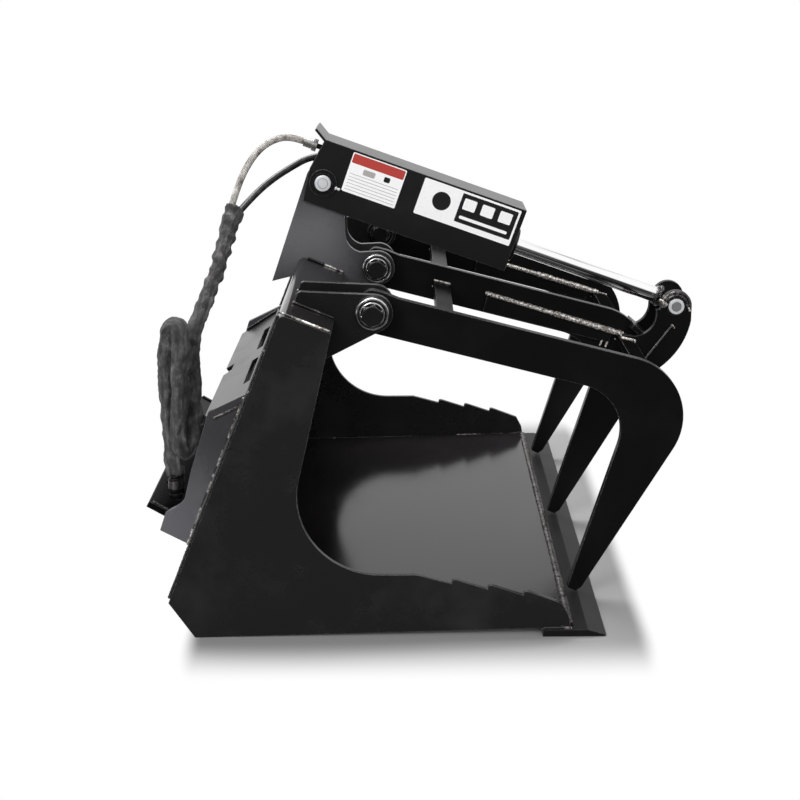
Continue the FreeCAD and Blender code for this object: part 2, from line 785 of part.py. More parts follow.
def rod_line():
    """Steel line from the rod-end port back along the barrel to the upper hose fitting."""
    pad_top = BARREL_BORE + PORT_HIGH
    y = UPPER_HOSE_SIDE
    x = ROD_PORT_AT
    centre = V(x - LINE_BEND, y, LINE_HEIGHT - LINE_BEND)
    middle = centre + xz(lean(45.0)) * LINE_BEND
    rise = Part.LineSegment(V(x, y, pad_top), V(x, y, LINE_HEIGHT - LINE_BEND)).toShape()
    turn = Part.Arc(V(x, y, LINE_HEIGHT - LINE_BEND), middle, V(x - LINE_BEND, y, LINE_HEIGHT)).toShape()
    run = Part.LineSegment(V(x - LINE_BEND, y, LINE_HEIGHT), V(LINE_REAR, y, LINE_HEIGHT)).toShape()
    return swing(tube_along([rise, turn, run], LINE_RADIUS))


def tube_along(edges, radius):
    """A solid round bar along tangent edges."""
    path = Part.Wire(edges)
    start = edges[0].valueAt(edges[0].FirstParameter)
    way = edges[0].tangentAt(edges[0].FirstParameter)
    circle = Part.Wire(Part.Circle(start, way, radius).toShape())
    return path.makePipeShell([circle], True, False)


def upper_fitting():
    """Crimped ferrule and nut between the steel line and the upper hose."""
    y = UPPER_HOSE_SIDE
    ferrule = Part.makeCylinder(FITTING_RADIUS, FITTING_LENGTH, V(LINE_REAR, y, LINE_HEIGHT), V(-1, 0, 0))
    nut_radius = FITTING_RADIUS + FITTING_NUT_STEP
    nut = Part.makeCylinder(nut_radius, FITTING_NUT_LENGTH, V(LINE_REAR, y, LINE_HEIGHT), V(-1, 0, 0))
    return swing(ferrule.fuse(nut).removeSplitter())


def base_elbow():
    """Elbow on the base port that turns the lower hose to the rear."""
    pad = V(BASE_PORT_AT, LOWER_HOSE_SIDE, BARREL_BORE + PORT_HIGH)
    moved = pad_place(pad)
    way = V(LOWER_ROUTE[0][0] - LOWER_ROUTE[1][0], 0, LOWER_ROUTE[0][2] - LOWER_ROUTE[1][2]).normalize()
    mouth = V(*LOWER_ROUTE[0]) + way * HOSE_GAP
    stem_way = pad_way()
    knee = moved + stem_way * ELBOW_STEM
    stem = Part.makeCylinder(FITTING_RADIUS, ELBOW_STEM, moved, stem_way)
    reach = (mouth - knee).Length
    arm = Part.makeCylinder(ELBOW_ARM_RADIUS, reach, knee, (mouth - knee).normalize())
    ball = Part.makeSphere(FITTING_RADIUS, knee)
    collar = Part.makeCylinder(FITTING_RADIUS, ELBOW_COLLAR, mouth, way)
    room = Part.makeCylinder(HOSE_ROOM, HOSE_ROOM, mouth, way)
    return stem.fuse([arm, ball, collar]).common(room).removeSplitter()


def pad_place(point):
    moved = Part.Vertex(point)
    return swing(moved).Point


def pad_way():
    way = lean(cylinder_angle + 90.0)
    return V(way[0], 0, way[1])


def guard_shell():
    """Inverted channel over the cylinder, with its top sheet flared up at the rear."""
    outer = guard_inside + GUARD_PLATE
    under = GUARD_HIGH - GUARD_PLATE
    rear = (GUARD_REAR_TOP, GUARD_HIGH)
    flare = step(rear, lean(180.0 - GUARD_FLARE_ANGLE), GUARD_FLARE)
    flare_under = step(flare, lean(90.0 - GUARD_FLARE_ANGLE), -GUARD_PLATE)
    bend = (GUARD_REAR_TOP - GUARD_PLATE * math.tan(math.radians(GUARD_FLARE_ANGLE / 2.0)), under)
    sheet = [(GUARD_FRONT, GUARD_HIGH), rear, flare, flare_under, bend]
    cheek = [GUARD_REAR_MID, (GUARD_REAR_LOW, GUARD_LOW), (GUARD_FRONT, GUARD_LOW)]
    side = rounded_outline(sheet + cheek)
    top = rounded_outline(sheet + [(GUARD_FRONT, under)])
    solid = plate(top, -guard_inside, guard_inside)
    solid = solid.fuse([plate(side, guard_inside, outer), plate(side, -outer, -guard_inside)])
    bore = across((0.0, 0.0), BOLT_RADIUS + TURN_FIT, -outer - OVERCUT, outer + OVERCUT)
    return swing(main_solid(solid.removeSplitter().cut(bore)))


def guard_end_plate():
    """Front plate of the guard. It sits round the gland nut."""
    low = GUARD_FRONT - GUARD_END_PLATE
    high = GUARD_HIGH - GUARD_PLATE - GUARD_LOW
    corner = V(low, -guard_inside, GUARD_LOW)
    solid = Part.makeBox(GUARD_END_PLATE, 2.0 * guard_inside, high, corner)
    return swing(solid.cut(along(GLAND_RADIUS + GUARD_PLAY, low - OVERCUT, GUARD_FRONT + OVERCUT)))


def guard_bosses():
    outer = guard_inside + GUARD_PLATE
    rings = []
    for side in (-1, 1):
        face = side * outer
        end = side * (outer + GUARD_BOSS_THICK)
        low, high = min(face, end), max(face, end)
        rings.append(swing(ring_across((0.0, 0.0), GUARD_BOSS_RADIUS, BOLT_RADIUS + TURN_FIT, low, high)))
    return group(rings)


# Rod
def rod():
    solid = along(ROD_RADIUS, PISTON_START, cylinder_span)
    half = LUG_GAP / 2.0
    return swing(main_solid(solid.cut(across((cylinder_span, 0.0), ROD_TUBE_RADIUS, -half, half))))


def piston():
    end = PISTON_START + PISTON_LENGTH
    solid = along(BARREL_BORE - TURN_FIT, PISTON_START, end)
    return swing(solid.cut(along(ROD_RADIUS, PISTON_START - OVERCUT, end + OVERCUT)))


def rod_end_tube():
    """Cross tube at the rod's end. Its bore is open enough for the jaw's slightly different arc."""
    half = LUG_GAP / 2.0 - SIDE_PLAY
    place = (cylinder_span, 0.0)
    return swing(ring_across(place, ROD_TUBE_RADIUS, BOLT_RADIUS + ROD_TUBE_OPENING, -half, half))


# Hoses
def cord(name, route, diameter):
    """A tube of straight runs joined by arcs as large as the runs allow."""
    points = [V(*point) for point in route]
    edges = []
    start = points[0]
    length = 0.0
    radii = []
    for i in range(1, len(points) - 1):
        before = points[i] - points[i - 1]
        after = points[i + 1] - points[i]
        turn = before.getAngle(after)
        reach = ARC_SHARE * min(before.Length, after.Length)
        radius = reach / math.tan(turn / 2.0)
        radii.append(radius)
        back = V(before).normalize() * -1.0
        ahead = V(after).normalize()
        first = points[i] + back * reach
        last = points[i] + ahead * reach
        inward = (back + ahead).normalize()
        crest = points[i] + inward * (radius / math.cos(turn / 2.0) - radius)
        edges.append(Part.LineSegment(start, first).toShape())
        edges.append(Part.Arc(first, crest, last).toShape())
        start = last
    edges.append(Part.LineSegment(start, points[-1]).toShape())
    for edge in edges:
        length += edge.Length
    solid = tube_along(edges, diameter / 2.0)
    share = solid.Volume / (math.pi * diameter * diameter / 4.0 * length)
    sizes = ", ".join("%.0f" % radius for radius in radii)
    print("%s: length %.0f mm, radii %s mm" % (name, length, sizes))
    print("%s: volume over section x length %.4f" % (name, share))
    return solid


def hose_hank():
    """Outer shape of the sleeve folded up behind the mount."""
    rings = []
    for centre, half_x, half_y in HANK_STATIONS:
        if half_x >= half_y:
            oval = Part.Ellipse(V(*centre), half_x, half_y)
            rings.append(Part.Wire(oval.toShape()))
            continue
        shape = Part.Ellipse(V(*centre), half_y, half_x).toShape()
        shape.rotate(V(*centre), V(0, 0, 1), 90.0)
        rings.append(Part.Wire(shape))
    return Part.makeLoft(rings, True, False)


def hose_couplers():
    """Two quick couplers at the sleeve's end."""
    centre = V(*HANK_STATIONS[-1][0])
    bodies = []
    for side in (-1, 1):
        top = V(centre.x, centre.y + side * COUPLER_SPACING / 2.0, centre.z)
        body = Part.makeCylinder(COUPLER_RADIUS, COUPLER_LENGTH, top, V(0, 0, -1))
        bodies.append(body)
    return group(bodies)


shell = bucket_shell()
notch = shell.fuse(behind_shell())
front_bars = cross_bars(FRONT_BAR_PLACE, -TINE_TOP_SLOPE)
centre_tine = tine(0.0)

nodes = {
    "bucket_shell": shell,
    "near_side_plate": side_plate(-1),
    "far_side_plate": side_plate(1),
    "cutting_edge": cutting_edge(),
    "mount_top_plate": mount_top_plate(),
    "mount_bottom_flange": mount_bottom_flange(),
    "mount_near_gusset": mount_gusset(-1),
    "mount_far_gusset": mount_gusset(1),
    "near_bracket_outer": bracket(-tine_offset - pair_half, notch),
    "near_bracket_inner": bracket(-tine_offset + BRACKET_GAP / 2.0, notch),
    "far_bracket_inner": bracket(tine_offset - pair_half, notch),
    "far_bracket_outer": bracket(tine_offset + BRACKET_GAP / 2.0, notch),
    "near_tower": tower(-1, shell),
    "far_tower": tower(1, shell),
    "tower_spacer": tower_spacer(),
    "pivot_bosses": pivot_bosses(),
    "pivot_washers": pivot_washers(),
    "pivot_nuts": pivot_nuts(),
    "base_pin": headed_pin(BASE_PIN, guard_inside + GUARD_PLATE + GUARD_BOSS_THICK + SIDE_PLAY),
    "near_tine": tine(-tine_offset),
    "centre_tine": centre_tine,
    "far_tine": tine(tine_offset),
    "tine_bushes": tine_bushes(),
    "rear_cross_bar": cross_bars(REAR_BAR_PLACE, -TINE_TOP_SLOPE),
    "front_cross_bar": front_bars,
    "tine_doublers": doublers(),
    "near_lug": lug(-1, front_bars),
    "far_lug": lug(1, front_bars),
    "lug_bridge": lug_bridge(centre_tine),
    "rod_pin": headed_pin(ROD_PIN, LUG_GAP / 2.0 + LUG_PLATE + SIDE_PLAY),
    "cylinder_barrel": barrel(),
    "cylinder_base_tube": base_tube(),
    "cylinder_gland": gland(),
    "rod_port_line": rod_line(),
    "upper_fitting": upper_fitting(),
    "base_elbow": base_elbow(),
    "guard_shell": guard_shell(),
    "guard_end_plate": guard_end_plate(),
    "guard_bosses": guard_bosses(),
    "cylinder_rod": rod(),
    "cylinder_piston": piston(),
    "rod_end_tube": rod_end_tube(),
    "upper_hose": cord("upper_hose", UPPER_ROUTE, HOSE_DIAMETER),
    "lower_hose": cord("lower_hose", LOWER_ROUTE, HOSE_DIAMETER),
    "hose_sleeve": cord("hose_sleeve", SLEEVE_ROUTE, SLEEVE_DIAMETER),
    "hose_hank": hose_hank(),
    "hose_couplers": hose_couplers(),
}
for name, middle, half in PIVOT_STATIONS:
    nodes[name + "_pivot_bolt"] = pivot_bolt(middle, half)

CORD_NODES = ("upper_hose", "lower_hose", "hose_sleeve", "hose_hank", "hose_couplers")
rigid = group([shape for name, shape in nodes.items() if name not in CORD_NODES])
box = rigid.BoundBox
shift = V(-(box.XMin + box.XMax) / 2.0, -(box.YMin + box.YMax) / 2.0, -box.ZMin)

os.makedirs("parts", exist_ok=True)
for name, shape in nodes.items():
    placed = shape.copy()
    placed.translate(shift)
    placed.exportStep("parts/" + name + ".step")

print("shift %.3f %.3f %.3f" % (shift.x, shift.y, shift.z))
print("rigid box %.1f x %.1f x %.1f" % (box.XLength, box.YLength, box.ZLength))
print("cylinder angle %.3f, pin to pin %.2f" % (cylinder_angle, cylinder_span))
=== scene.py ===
import logging
import math
from dataclasses import dataclass, field
from enum import Enum
from typing import Any, Callable, Iterable, Sequence

import bmesh
import bpy
from mathutils import Matrix, Vector, noise


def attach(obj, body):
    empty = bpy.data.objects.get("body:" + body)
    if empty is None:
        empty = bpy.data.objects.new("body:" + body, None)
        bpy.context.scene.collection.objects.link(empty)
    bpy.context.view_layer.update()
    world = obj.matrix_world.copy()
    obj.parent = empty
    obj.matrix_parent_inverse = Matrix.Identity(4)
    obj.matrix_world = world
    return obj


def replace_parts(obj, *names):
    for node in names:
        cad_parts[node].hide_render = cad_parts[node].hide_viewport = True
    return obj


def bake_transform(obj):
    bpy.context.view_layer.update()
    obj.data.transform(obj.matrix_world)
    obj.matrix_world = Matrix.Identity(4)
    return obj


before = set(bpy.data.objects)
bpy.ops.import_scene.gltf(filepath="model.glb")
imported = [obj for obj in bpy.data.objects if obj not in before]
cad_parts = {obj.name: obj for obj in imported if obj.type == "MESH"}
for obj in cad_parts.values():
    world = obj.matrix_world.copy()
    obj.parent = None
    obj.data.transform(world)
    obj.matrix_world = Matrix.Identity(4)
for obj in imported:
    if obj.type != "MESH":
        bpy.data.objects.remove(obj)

LOG = logging.getLogger("grapple_bucket")
Point = tuple[float, float, float]
Pair = tuple[float, float]
PROFILE_SHIFT = -48.852
PIVOT: Pair = (-48.0, 553.0)
ACROSS = Vector((0.0, 1.0, 0.0))
WHITE = (1.0, 1.0, 1.0, 1.0)


def place(x: float, y: float, z: float) -> Vector:
    """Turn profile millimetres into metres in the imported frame."""
    return Vector(((x + PROFILE_SHIFT) / 1000.0, y / 1000.0, z / 1000.0))


def back_x(z: float) -> float:
    """Return the profile x of the back sheet's outer face at a height."""
    return -407.0 + (z - 66.0) * 211.0 / 511.0


class Side(Enum):
    """The two sides of the bucket, as signs along Y."""

    NEAR = -1
    FAR = 1


class Body(Enum):
    """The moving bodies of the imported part."""

    BUCKET = "bucket"
    JAW = "jaw"
    CYLINDER = "cylinder"
    ROD = "rod"


class Wire:
    """One socket's value in a node tree. Arithmetic on it adds Math nodes."""

    def __init__(self, graph: "Graph", socket: bpy.types.NodeSocket) -> None:
        """Keep the tree and the socket."""
        self.graph = graph
        self.socket = socket

    def _math(self, operation: str, *values: Any, clamp: bool = False) -> "Wire":
        """Add one Math node."""
        settings = {"operation": operation, "use_clamp": clamp}
        return self.graph.node("ShaderNodeMath", settings, dict(enumerate(values)))[0]

    def __add__(self, other: Any) -> "Wire":
        """Add a value."""
        return self._math("ADD", self, other)

    def __radd__(self, other: Any) -> "Wire":
        """Add to a value."""
        return self._math("ADD", other, self)

    def __sub__(self, other: Any) -> "Wire":
        """Subtract a value."""
        return self._math("SUBTRACT", self, other)

    def __rsub__(self, other: Any) -> "Wire":
        """Subtract from a value."""
        return self._math("SUBTRACT", other, self)

    def __mul__(self, other: Any) -> "Wire":
        """Multiply by a value."""
        return self._math("MULTIPLY", self, other)

    def __rmul__(self, other: Any) -> "Wire":
        """Multiply a value."""
        return self._math("MULTIPLY", other, self)

    def __truediv__(self, other: Any) -> "Wire":
        """Divide by a value."""
        return self._math("DIVIDE", self, other)

    def __pow__(self, other: Any) -> "Wire":
        """Raise to a power."""
        return self._math("POWER", self, other)

    def held(self) -> "Wire":
        """Return the value held between 0 and 1."""
        return self._math("ADD", self, 0.0, clamp=True)

    def sine(self) -> "Wire":
        """Return the sine of the value."""
        return self._math("SINE", self)

    def size(self) -> "Wire":
        """Return the value without its sign."""
        return self._math("ABSOLUTE", self)

    def larger(self, other: Any) -> "Wire":
        """Return the larger of the two values."""
        return self._math("MAXIMUM", self, other)

    def ramp(self, low: float, high: float) -> "Wire":
        """Return a smooth step of the value."""
        settings = {"interpolation_type": "SMOOTHSTEP"}
        values = {"Value": self, "From Min": low, "From Max": high}
        return self.graph.node("ShaderNodeMapRange", settings, values)[0]


class Graph:
    """A node tree that is built through one method."""

    def __init__(self, tree: bpy.types.NodeTree) -> None:
        """Keep the tree and clear it."""
        self.tree = tree
        tree.nodes.clear()

    @staticmethod
    def _find(sockets: Any, key: Any) -> bpy.types.NodeSocket:
        """Find a socket by its place, identifier or name."""
        if isinstance(key, int):
            return sockets[key]
        for socket in sockets:
            if socket.identifier == key:
                return socket
        return sockets[key]

    def node(self, kind: str, settings: dict[str, Any], values: dict[Any, Any]) -> "Outputs":
        """Add a node.

        Args:
            kind: The node's type.
            settings: Its own settings, set first. "stops" holds a ramp's positions and colours.
            values: The values or links of its sockets.

        Returns:
            The node's outputs.
        """
        made = self.tree.nodes.new(kind)
        for name, value in settings.items():
            if name == "stops":
                ramp = made.color_ramp
                while len(ramp.elements) < len(value):
                    ramp.elements.new(0.5)
                for element, (position, colour) in zip(ramp.elements, value):
                    element.position = position
                    element.color = (*colour, 1.0)
            else:
                setattr(made, name, value)
        for key, value in values.items():
            socket = self._find(made.inputs, key)
            if isinstance(value, Wire):
                self.tree.links.new(value.socket, socket)
            else:
                socket.default_value = value
        return Outputs(self, made)


class Outputs:
    """The outputs of one node."""

    def __init__(self, graph: Graph, made: bpy.types.Node) -> None:
        """Keep the tree and the node."""
        self.graph = graph
        self.made = made

    def __getitem__(self, key: Any) -> Wire:
        """Return one output by its place, identifier or name."""
        return Wire(self.graph, Graph._find(self.made.outputs, key))


class Shade(Graph):
    """A material's tree, with the few helpers that the finishes share."""

    def __init__(self, name: str) -> None:
        """Make a new material."""
        self.material = bpy.data.materials.new(name)
        self.material.use_nodes = True
        super().__init__(self.material.node_tree)
        self.where = self.node("ShaderNodeTexCoord", {}, {})["Object"]

    def noise(self, scale: float, detail: float = 3.0, rough: float = 0.5, at: Wire | None = None) -> Wire:
        """Return a noise value over the surface."""
        values = {"Vector": at or self.where, "Scale": scale, "Detail": detail, "Roughness": rough}
        return self.node("ShaderNodeTexNoise", {}, values)[0]

    def stretched(self, x: float, y: float, z: float, turn: float = 0.0) -> Wire:
        """Return Object coordinates with a scale on each axis, turned about Y by some degrees first."""
        scale, rotation = (1.0 / x, 1.0 / y, 1.0 / z), (0.0, math.radians(turn), 0.0)
        values = {"Vector": self.where, "Scale": scale, "Rotation": rotation}
        return self.node("ShaderNodeMapping", {"vector_type": "TEXTURE"}, values)[0]

    def blend(self, share: Any, first: Any, second: Any) -> Wire:
        """Mix two colours."""
        pair = [value if isinstance(value, Wire) else (*value, 1.0) for value in (first, second)]
        values = {"Factor_Float": share, "A_Color": pair[0], "B_Color": pair[1]}
        return self.node("ShaderNodeMix", {"data_type": "RGBA"}, values)["Result_Color"]

    def rounded(self, radius: float) -> Wire:
        """Return the normal of an edge that is rounded by a radius in metres."""
        return self.node("ShaderNodeBevel", {"samples": 6}, {"Radius": radius})[0]

    def edges(self, soft: Wire, low: float, high: float) -> Wire:
        """Return how near the surface is to an outer or inner edge."""
        flat = self.node("ShaderNodeNewGeometry", {}, {})["Normal"]
        dot = self.node("ShaderNodeVectorMath", {"operation": "DOT_PRODUCT"}, {0: soft, 1: flat})["Value"]
        return (1.0 - dot).ramp(low, high)

    def bump(self, height: Wire, distance: float, normal: Wire | None = None, strength: float = 1.0) -> Wire:
        """Return the normal of a surface with a height on it."""
        values: dict[Any, Any] = {"Height": height, "Distance": distance, "Strength": strength}
        if normal is not None:
            values["Normal"] = normal
        return self.node("ShaderNodeBump", {}, values)[0]

    def finish(self, values: dict[str, Any]) -> bpy.types.Material:
        """End the tree in one surface shader."""
        surface = self.node("ShaderNodeBsdfPrincipled", {}, values)[0]
        self.node("ShaderNodeOutputMaterial", {}, {"Surface": surface})
        return self.material


@dataclass(frozen=True)
class GlossEnamel:
    """Black enamel over plate: slight orange peel, dust film, edges painted lighter as wear and painted highlight,
    and an optional painted sheen.
    """

    name: str
    body: Point = (0.0065, 0.0062, 0.0064)
    # Edge colour: the lighter colour of the edges, partly worn paint and partly painted highlight.
    edge: Point = (0.20, 0.20, 0.205)
    roughness: float = 0.26
    edge_radius: float = 0.0022
    film: float = 0.5
    # Painted sheen: a lighter colour laid by height and faded by x and near the top, as painted reflection; the
    # default ranges leave it out.
    painted_sheen: Point = (0.03, 0.03, 0.032)
    painted_sheen_rise: Pair = (5.0, 6.0)
    painted_sheen_back: Pair = (9.0, 8.0)
    painted_sheen_top: Pair = (9.0, 8.0)
    specular: float = 0.5

    def build(self) -> bpy.types.Material:
        """Make the material."""
        shade = Shade(self.name)
        soft = shade.rounded(self.edge_radius)
        near_edge = shade.edges(soft, 0.03, 0.22)
        chips = shade.noise(260.0, 4.0).ramp(0.46, 0.60)
        # Edges painted lighter in chipped patches, partly as wear and partly as painted highlight.
        edge_wear_and_highlight = (near_edge * (0.35 + 0.65 * chips)).held()
        dust = shade.noise(7.0, 5.0, 0.62).ramp(0.45, 0.75) * self.film
        colour = shade.blend(dust, self.body, tuple(2.0 * part + 0.003 for part in self.body))
        spot = shade.node("ShaderNodeSeparateXYZ", {}, {"Vector": shade.where})
        # Painted sheen by height, with a little noise, faded by x and near the top: painted reflection.
        painted_sheen = (spot[2] + 0.12 * (shade.noise(4.0, 2.0) - 0.5)).ramp(*self.painted_sheen_rise)
        painted_sheen = painted_sheen * spot[0].ramp(*self.painted_sheen_back) * spot[2].ramp(*self.painted_sheen_top)
        colour = shade.blend(painted_sheen, colour, self.painted_sheen)
        colour = shade.blend(edge_wear_and_highlight, colour, self.edge)
        streak = shade.noise(3.0, 4.0, 0.6, shade.stretched(1.0, 1.0, 5.0))
        rough = self.roughness + 0.10 * (streak - 0.5) + 0.16 * dust + 0.08 * edge_wear_and_highlight
        peel = shade.noise(420.0, 2.0) + 0.5 * shade.noise(60.0, 1.0)
        normal = shade.bump(peel, 0.00010, soft, 0.5)
        values = {"Base Color": colour, "Roughness": rough, "Normal": normal, "IOR": 1.45}
        return shade.finish(values | {"Specular IOR Level": self.specular})


@dataclass(frozen=True)
class Plating:
    """Bright zinc or machined steel with a blotchy, finely brushed surface."""

    name: str
    body: Point = (0.62, 0.64, 0.66)
    shadow: Point = (0.20, 0.19, 0.17)
    roughness: float = 0.32
    grime: float = 0.35
    metallic: float = 1.0

    def build(self) -> bpy.types.Material:
        """Make the material."""
        shade = Shade(self.name)
        soft = shade.rounded(0.0008)
        blotch = shade.noise(90.0, 4.0, 0.6)
        # Random dark patches: grime on zinc and steel, and on the pale washer rims the breaks between their painted
        # highlight arcs.
        grime_and_arc_breaks = shade.noise(30.0, 5.0, 0.7).ramp(0.52, 0.78) * self.grime
        colour = shade.blend(grime_and_arc_breaks, self.body, self.shadow)
        rough = self.roughness + 0.25 * (blotch - 0.5) + 0.3 * grime_and_arc_breaks
        normal = shade.bump(shade.noise(900.0, 2.0), 0.00004, soft, 0.6)
        return shade.finish({"Base Color": colour, "Metallic": self.metallic, "Roughness": rough, "Normal": normal})


@dataclass(frozen=True)
class HardChrome:
    """Polished chrome on the rod, with faint wiping marks along it and dark stripes painted into its colour as
    painted reflection.
    """

    name: str

    def build(self) -> bpy.types.Material:
        """Make the material."""
        shade = Shade(self.name)
        wipe = shade.noise(40.0, 3.0, 0.6, shade.stretched(0.05, 4.0, 4.0, 20.0))
        # Dark stripes in the chrome's colour: painted reflection.
        painted_reflection_stripe = shade.noise(60.0, 3.0, 0.6, shade.stretched(0.03, 3.0, 3.0, 20.0)).ramp(0.55, 0.62)
        colour = shade.blend(0.8 * painted_reflection_stripe, (0.97, 0.97, 0.98), (0.16, 0.16, 0.17))
        rough = 0.05 + 0.08 * wipe
        return shade.finish({"Base Color": colour, "Metallic": 1.0, "Roughness": rough})


@dataclass(frozen=True)
class WeldMetal:
    """Weld metal left partly bare: silver and brown speckle over black spatter, its whitest specks painted glints."""

    name: str
    paint_share: float = 0.45
    shine: float = 1.0
    lumps: float = 230.0

    def build(self) -> bpy.types.Material:
        """Make the material."""
        shade = Shade(self.name)
        speckle = shade.noise(self.lumps, 5.0, 0.75)
        # The whitest stop paints glints on the bead as painted highlight; the darker stops are the weld's own
        # speckle.
        stops = [(0.36, (0.014, 0.012, 0.011)), (0.44, (0.20, 0.17, 0.15))]
        stops += [(0.51, (0.50, 0.46, 0.43)), (0.60, (0.98, 0.97, 0.96))]
        stops = [(at, tuple(self.shine * part for part in colour)) for at, colour in stops]
        metal = shade.node("ShaderNodeValToRGB", {"stops": stops}, {"Fac": speckle})[0]
        painted = shade.noise(34.0, 4.0, 0.6).ramp(1.0 - self.paint_share - 0.08, 1.0 - self.paint_share + 0.12)
        colour = shade.blend(painted, metal, (0.012, 0.012, 0.013))
        normal = shade.bump(shade.noise(700.0, 3.0), 0.0003)
        rough = 0.16 + 0.30 * speckle * (1.0 - painted)
        values = {"Base Color": colour, "Metallic": 0.45 * (1.0 - painted), "Roughness": rough, "Normal": normal}
        return shade.finish(values)


@dataclass(frozen=True)
class SmoothHose:
    """Smooth black hose cover with a faint wrapped-mould pattern."""

    name: str

    def build(self) -> bpy.types.Material:
        """Make the material."""
        shade = Shade(self.name)
        scuff = shade.noise(70.0, 5.0, 0.65).ramp(0.5, 0.8)
        colour = shade.blend(scuff, (0.012, 0.012, 0.013), (0.06, 0.058, 0.055))
        normal = shade.bump(shade.noise(900.0, 2.0), 0.00006)
        return shade.finish({"Base Color": colour, "Roughness": 0.24 + 0.3 * scuff, "Normal": normal})


@dataclass(frozen=True)
class BraidedCover:
    """Weathered textile braid: two crossing sets of flat strands round the hose."""

    name: str
    strands: float = 12.0
    pitch: float = 0.016

    def build(self) -> bpy.types.Material:
        """Make the material. UV x runs round the hose and y is metres along it."""
        shade = Shade(self.name)
        uv = shade.node("ShaderNodeSeparateXYZ", {}, {"Vector": shade.node("ShaderNodeTexCoord", {}, {})["UV"]})
        turn = uv[0] * (2.0 * math.pi * self.strands)
        run = uv[1] * (2.0 * math.pi / self.pitch * self.strands / 6.0)
        one = (turn + run).sine()
        two = (turn - run).sine()
        weave = one.larger(two).ramp(-0.2, 1.0)
        worn = shade.noise(60.0, 5.0, 0.65)
        stops = [(0.34, (0.07, 0.066, 0.062)), (0.45, (0.40, 0.37, 0.345)), (0.64, (0.80, 0.77, 0.74))]
        tint = shade.node("ShaderNodeValToRGB", {"stops": stops}, {"Fac": worn})[0]
        colour = shade.blend(0.55 * (1.0 - weave), tint, (0.02, 0.019, 0.018))
        normal = shade.bump(weave, 0.0007)
        return shade.finish({"Base Color": colour, "Roughness": 0.75, "Normal": normal})


@dataclass(frozen=True)
class SleeveCloth:
    """Charcoal nylon sleeve: fine plain weave, lighter on its ridges as fading and darker in its creases as painted
    shade.
    """

    name: str
    threads: float = 640.0

    def build(self) -> bpy.types.Material:
        """Make the material. UV x and y are metres round and along the sleeve."""
        shade = Shade(self.name)
        uv = shade.node("ShaderNodeSeparateXYZ", {}, {"Vector": shade.node("ShaderNodeTexCoord", {}, {})["UV"]})
        warp = (uv[0] * (2.0 * math.pi * self.threads)).sine()
        weft = (uv[1] * (2.0 * math.pi * self.threads)).sine()
        weave = (warp * weft * 0.5 + 0.5).held()
        lengthwise = shade.node("ShaderNodeCombineXYZ", {}, {"X": uv[0] * 62.0, "Y": uv[1] * 26.0})[0]
        crease = shade.noise(1.0, 5.0, 0.6, lengthwise)
        # Tint follows the crease bump: lighter ridges as fading, darker creases as painted shade, with some noise.
        fade_and_crease_shade = 0.6 * crease + 0.4 * shade.noise(60.0, 4.0, 0.6)
        stops = [(0.34, (0.014, 0.0135, 0.014)), (0.50, (0.064, 0.061, 0.063)), (0.64, (0.19, 0.183, 0.187))]
        tint = shade.node("ShaderNodeValToRGB", {"stops": stops}, {"Fac": fade_and_crease_shade})[0]
        colour = shade.blend(0.35 * weave, tint, (0.012, 0.012, 0.012))
        normal = shade.bump(crease, 0.009, shade.bump(weave, 0.0003))
        return shade.finish({"Base Color": colour, "Roughness": 0.82, "Normal": normal, "Sheen Weight": 0.12})


@dataclass(frozen=True)
class Film:
    """A printed vinyl film of one plain colour, slightly scuffed."""

    name: str
    colour: Point
    roughness: float = 0.35

    def build(self) -> bpy.types.Material:
        """Make the material."""
        shade = Shade(self.name)
        scuff = shade.noise(160.0, 5.0, 0.7).ramp(0.56, 0.74)
        dull = tuple(0.62 * part + 0.03 for part in self.colour)
        colour = shade.blend(0.6 * scuff, self.colour, dull)
        normal = shade.bump(shade.noise(120.0, 2.0), 0.0001)
        return shade.finish({"Base Color": colour, "Roughness": self.roughness + 0.2 * scuff, "Normal": normal})


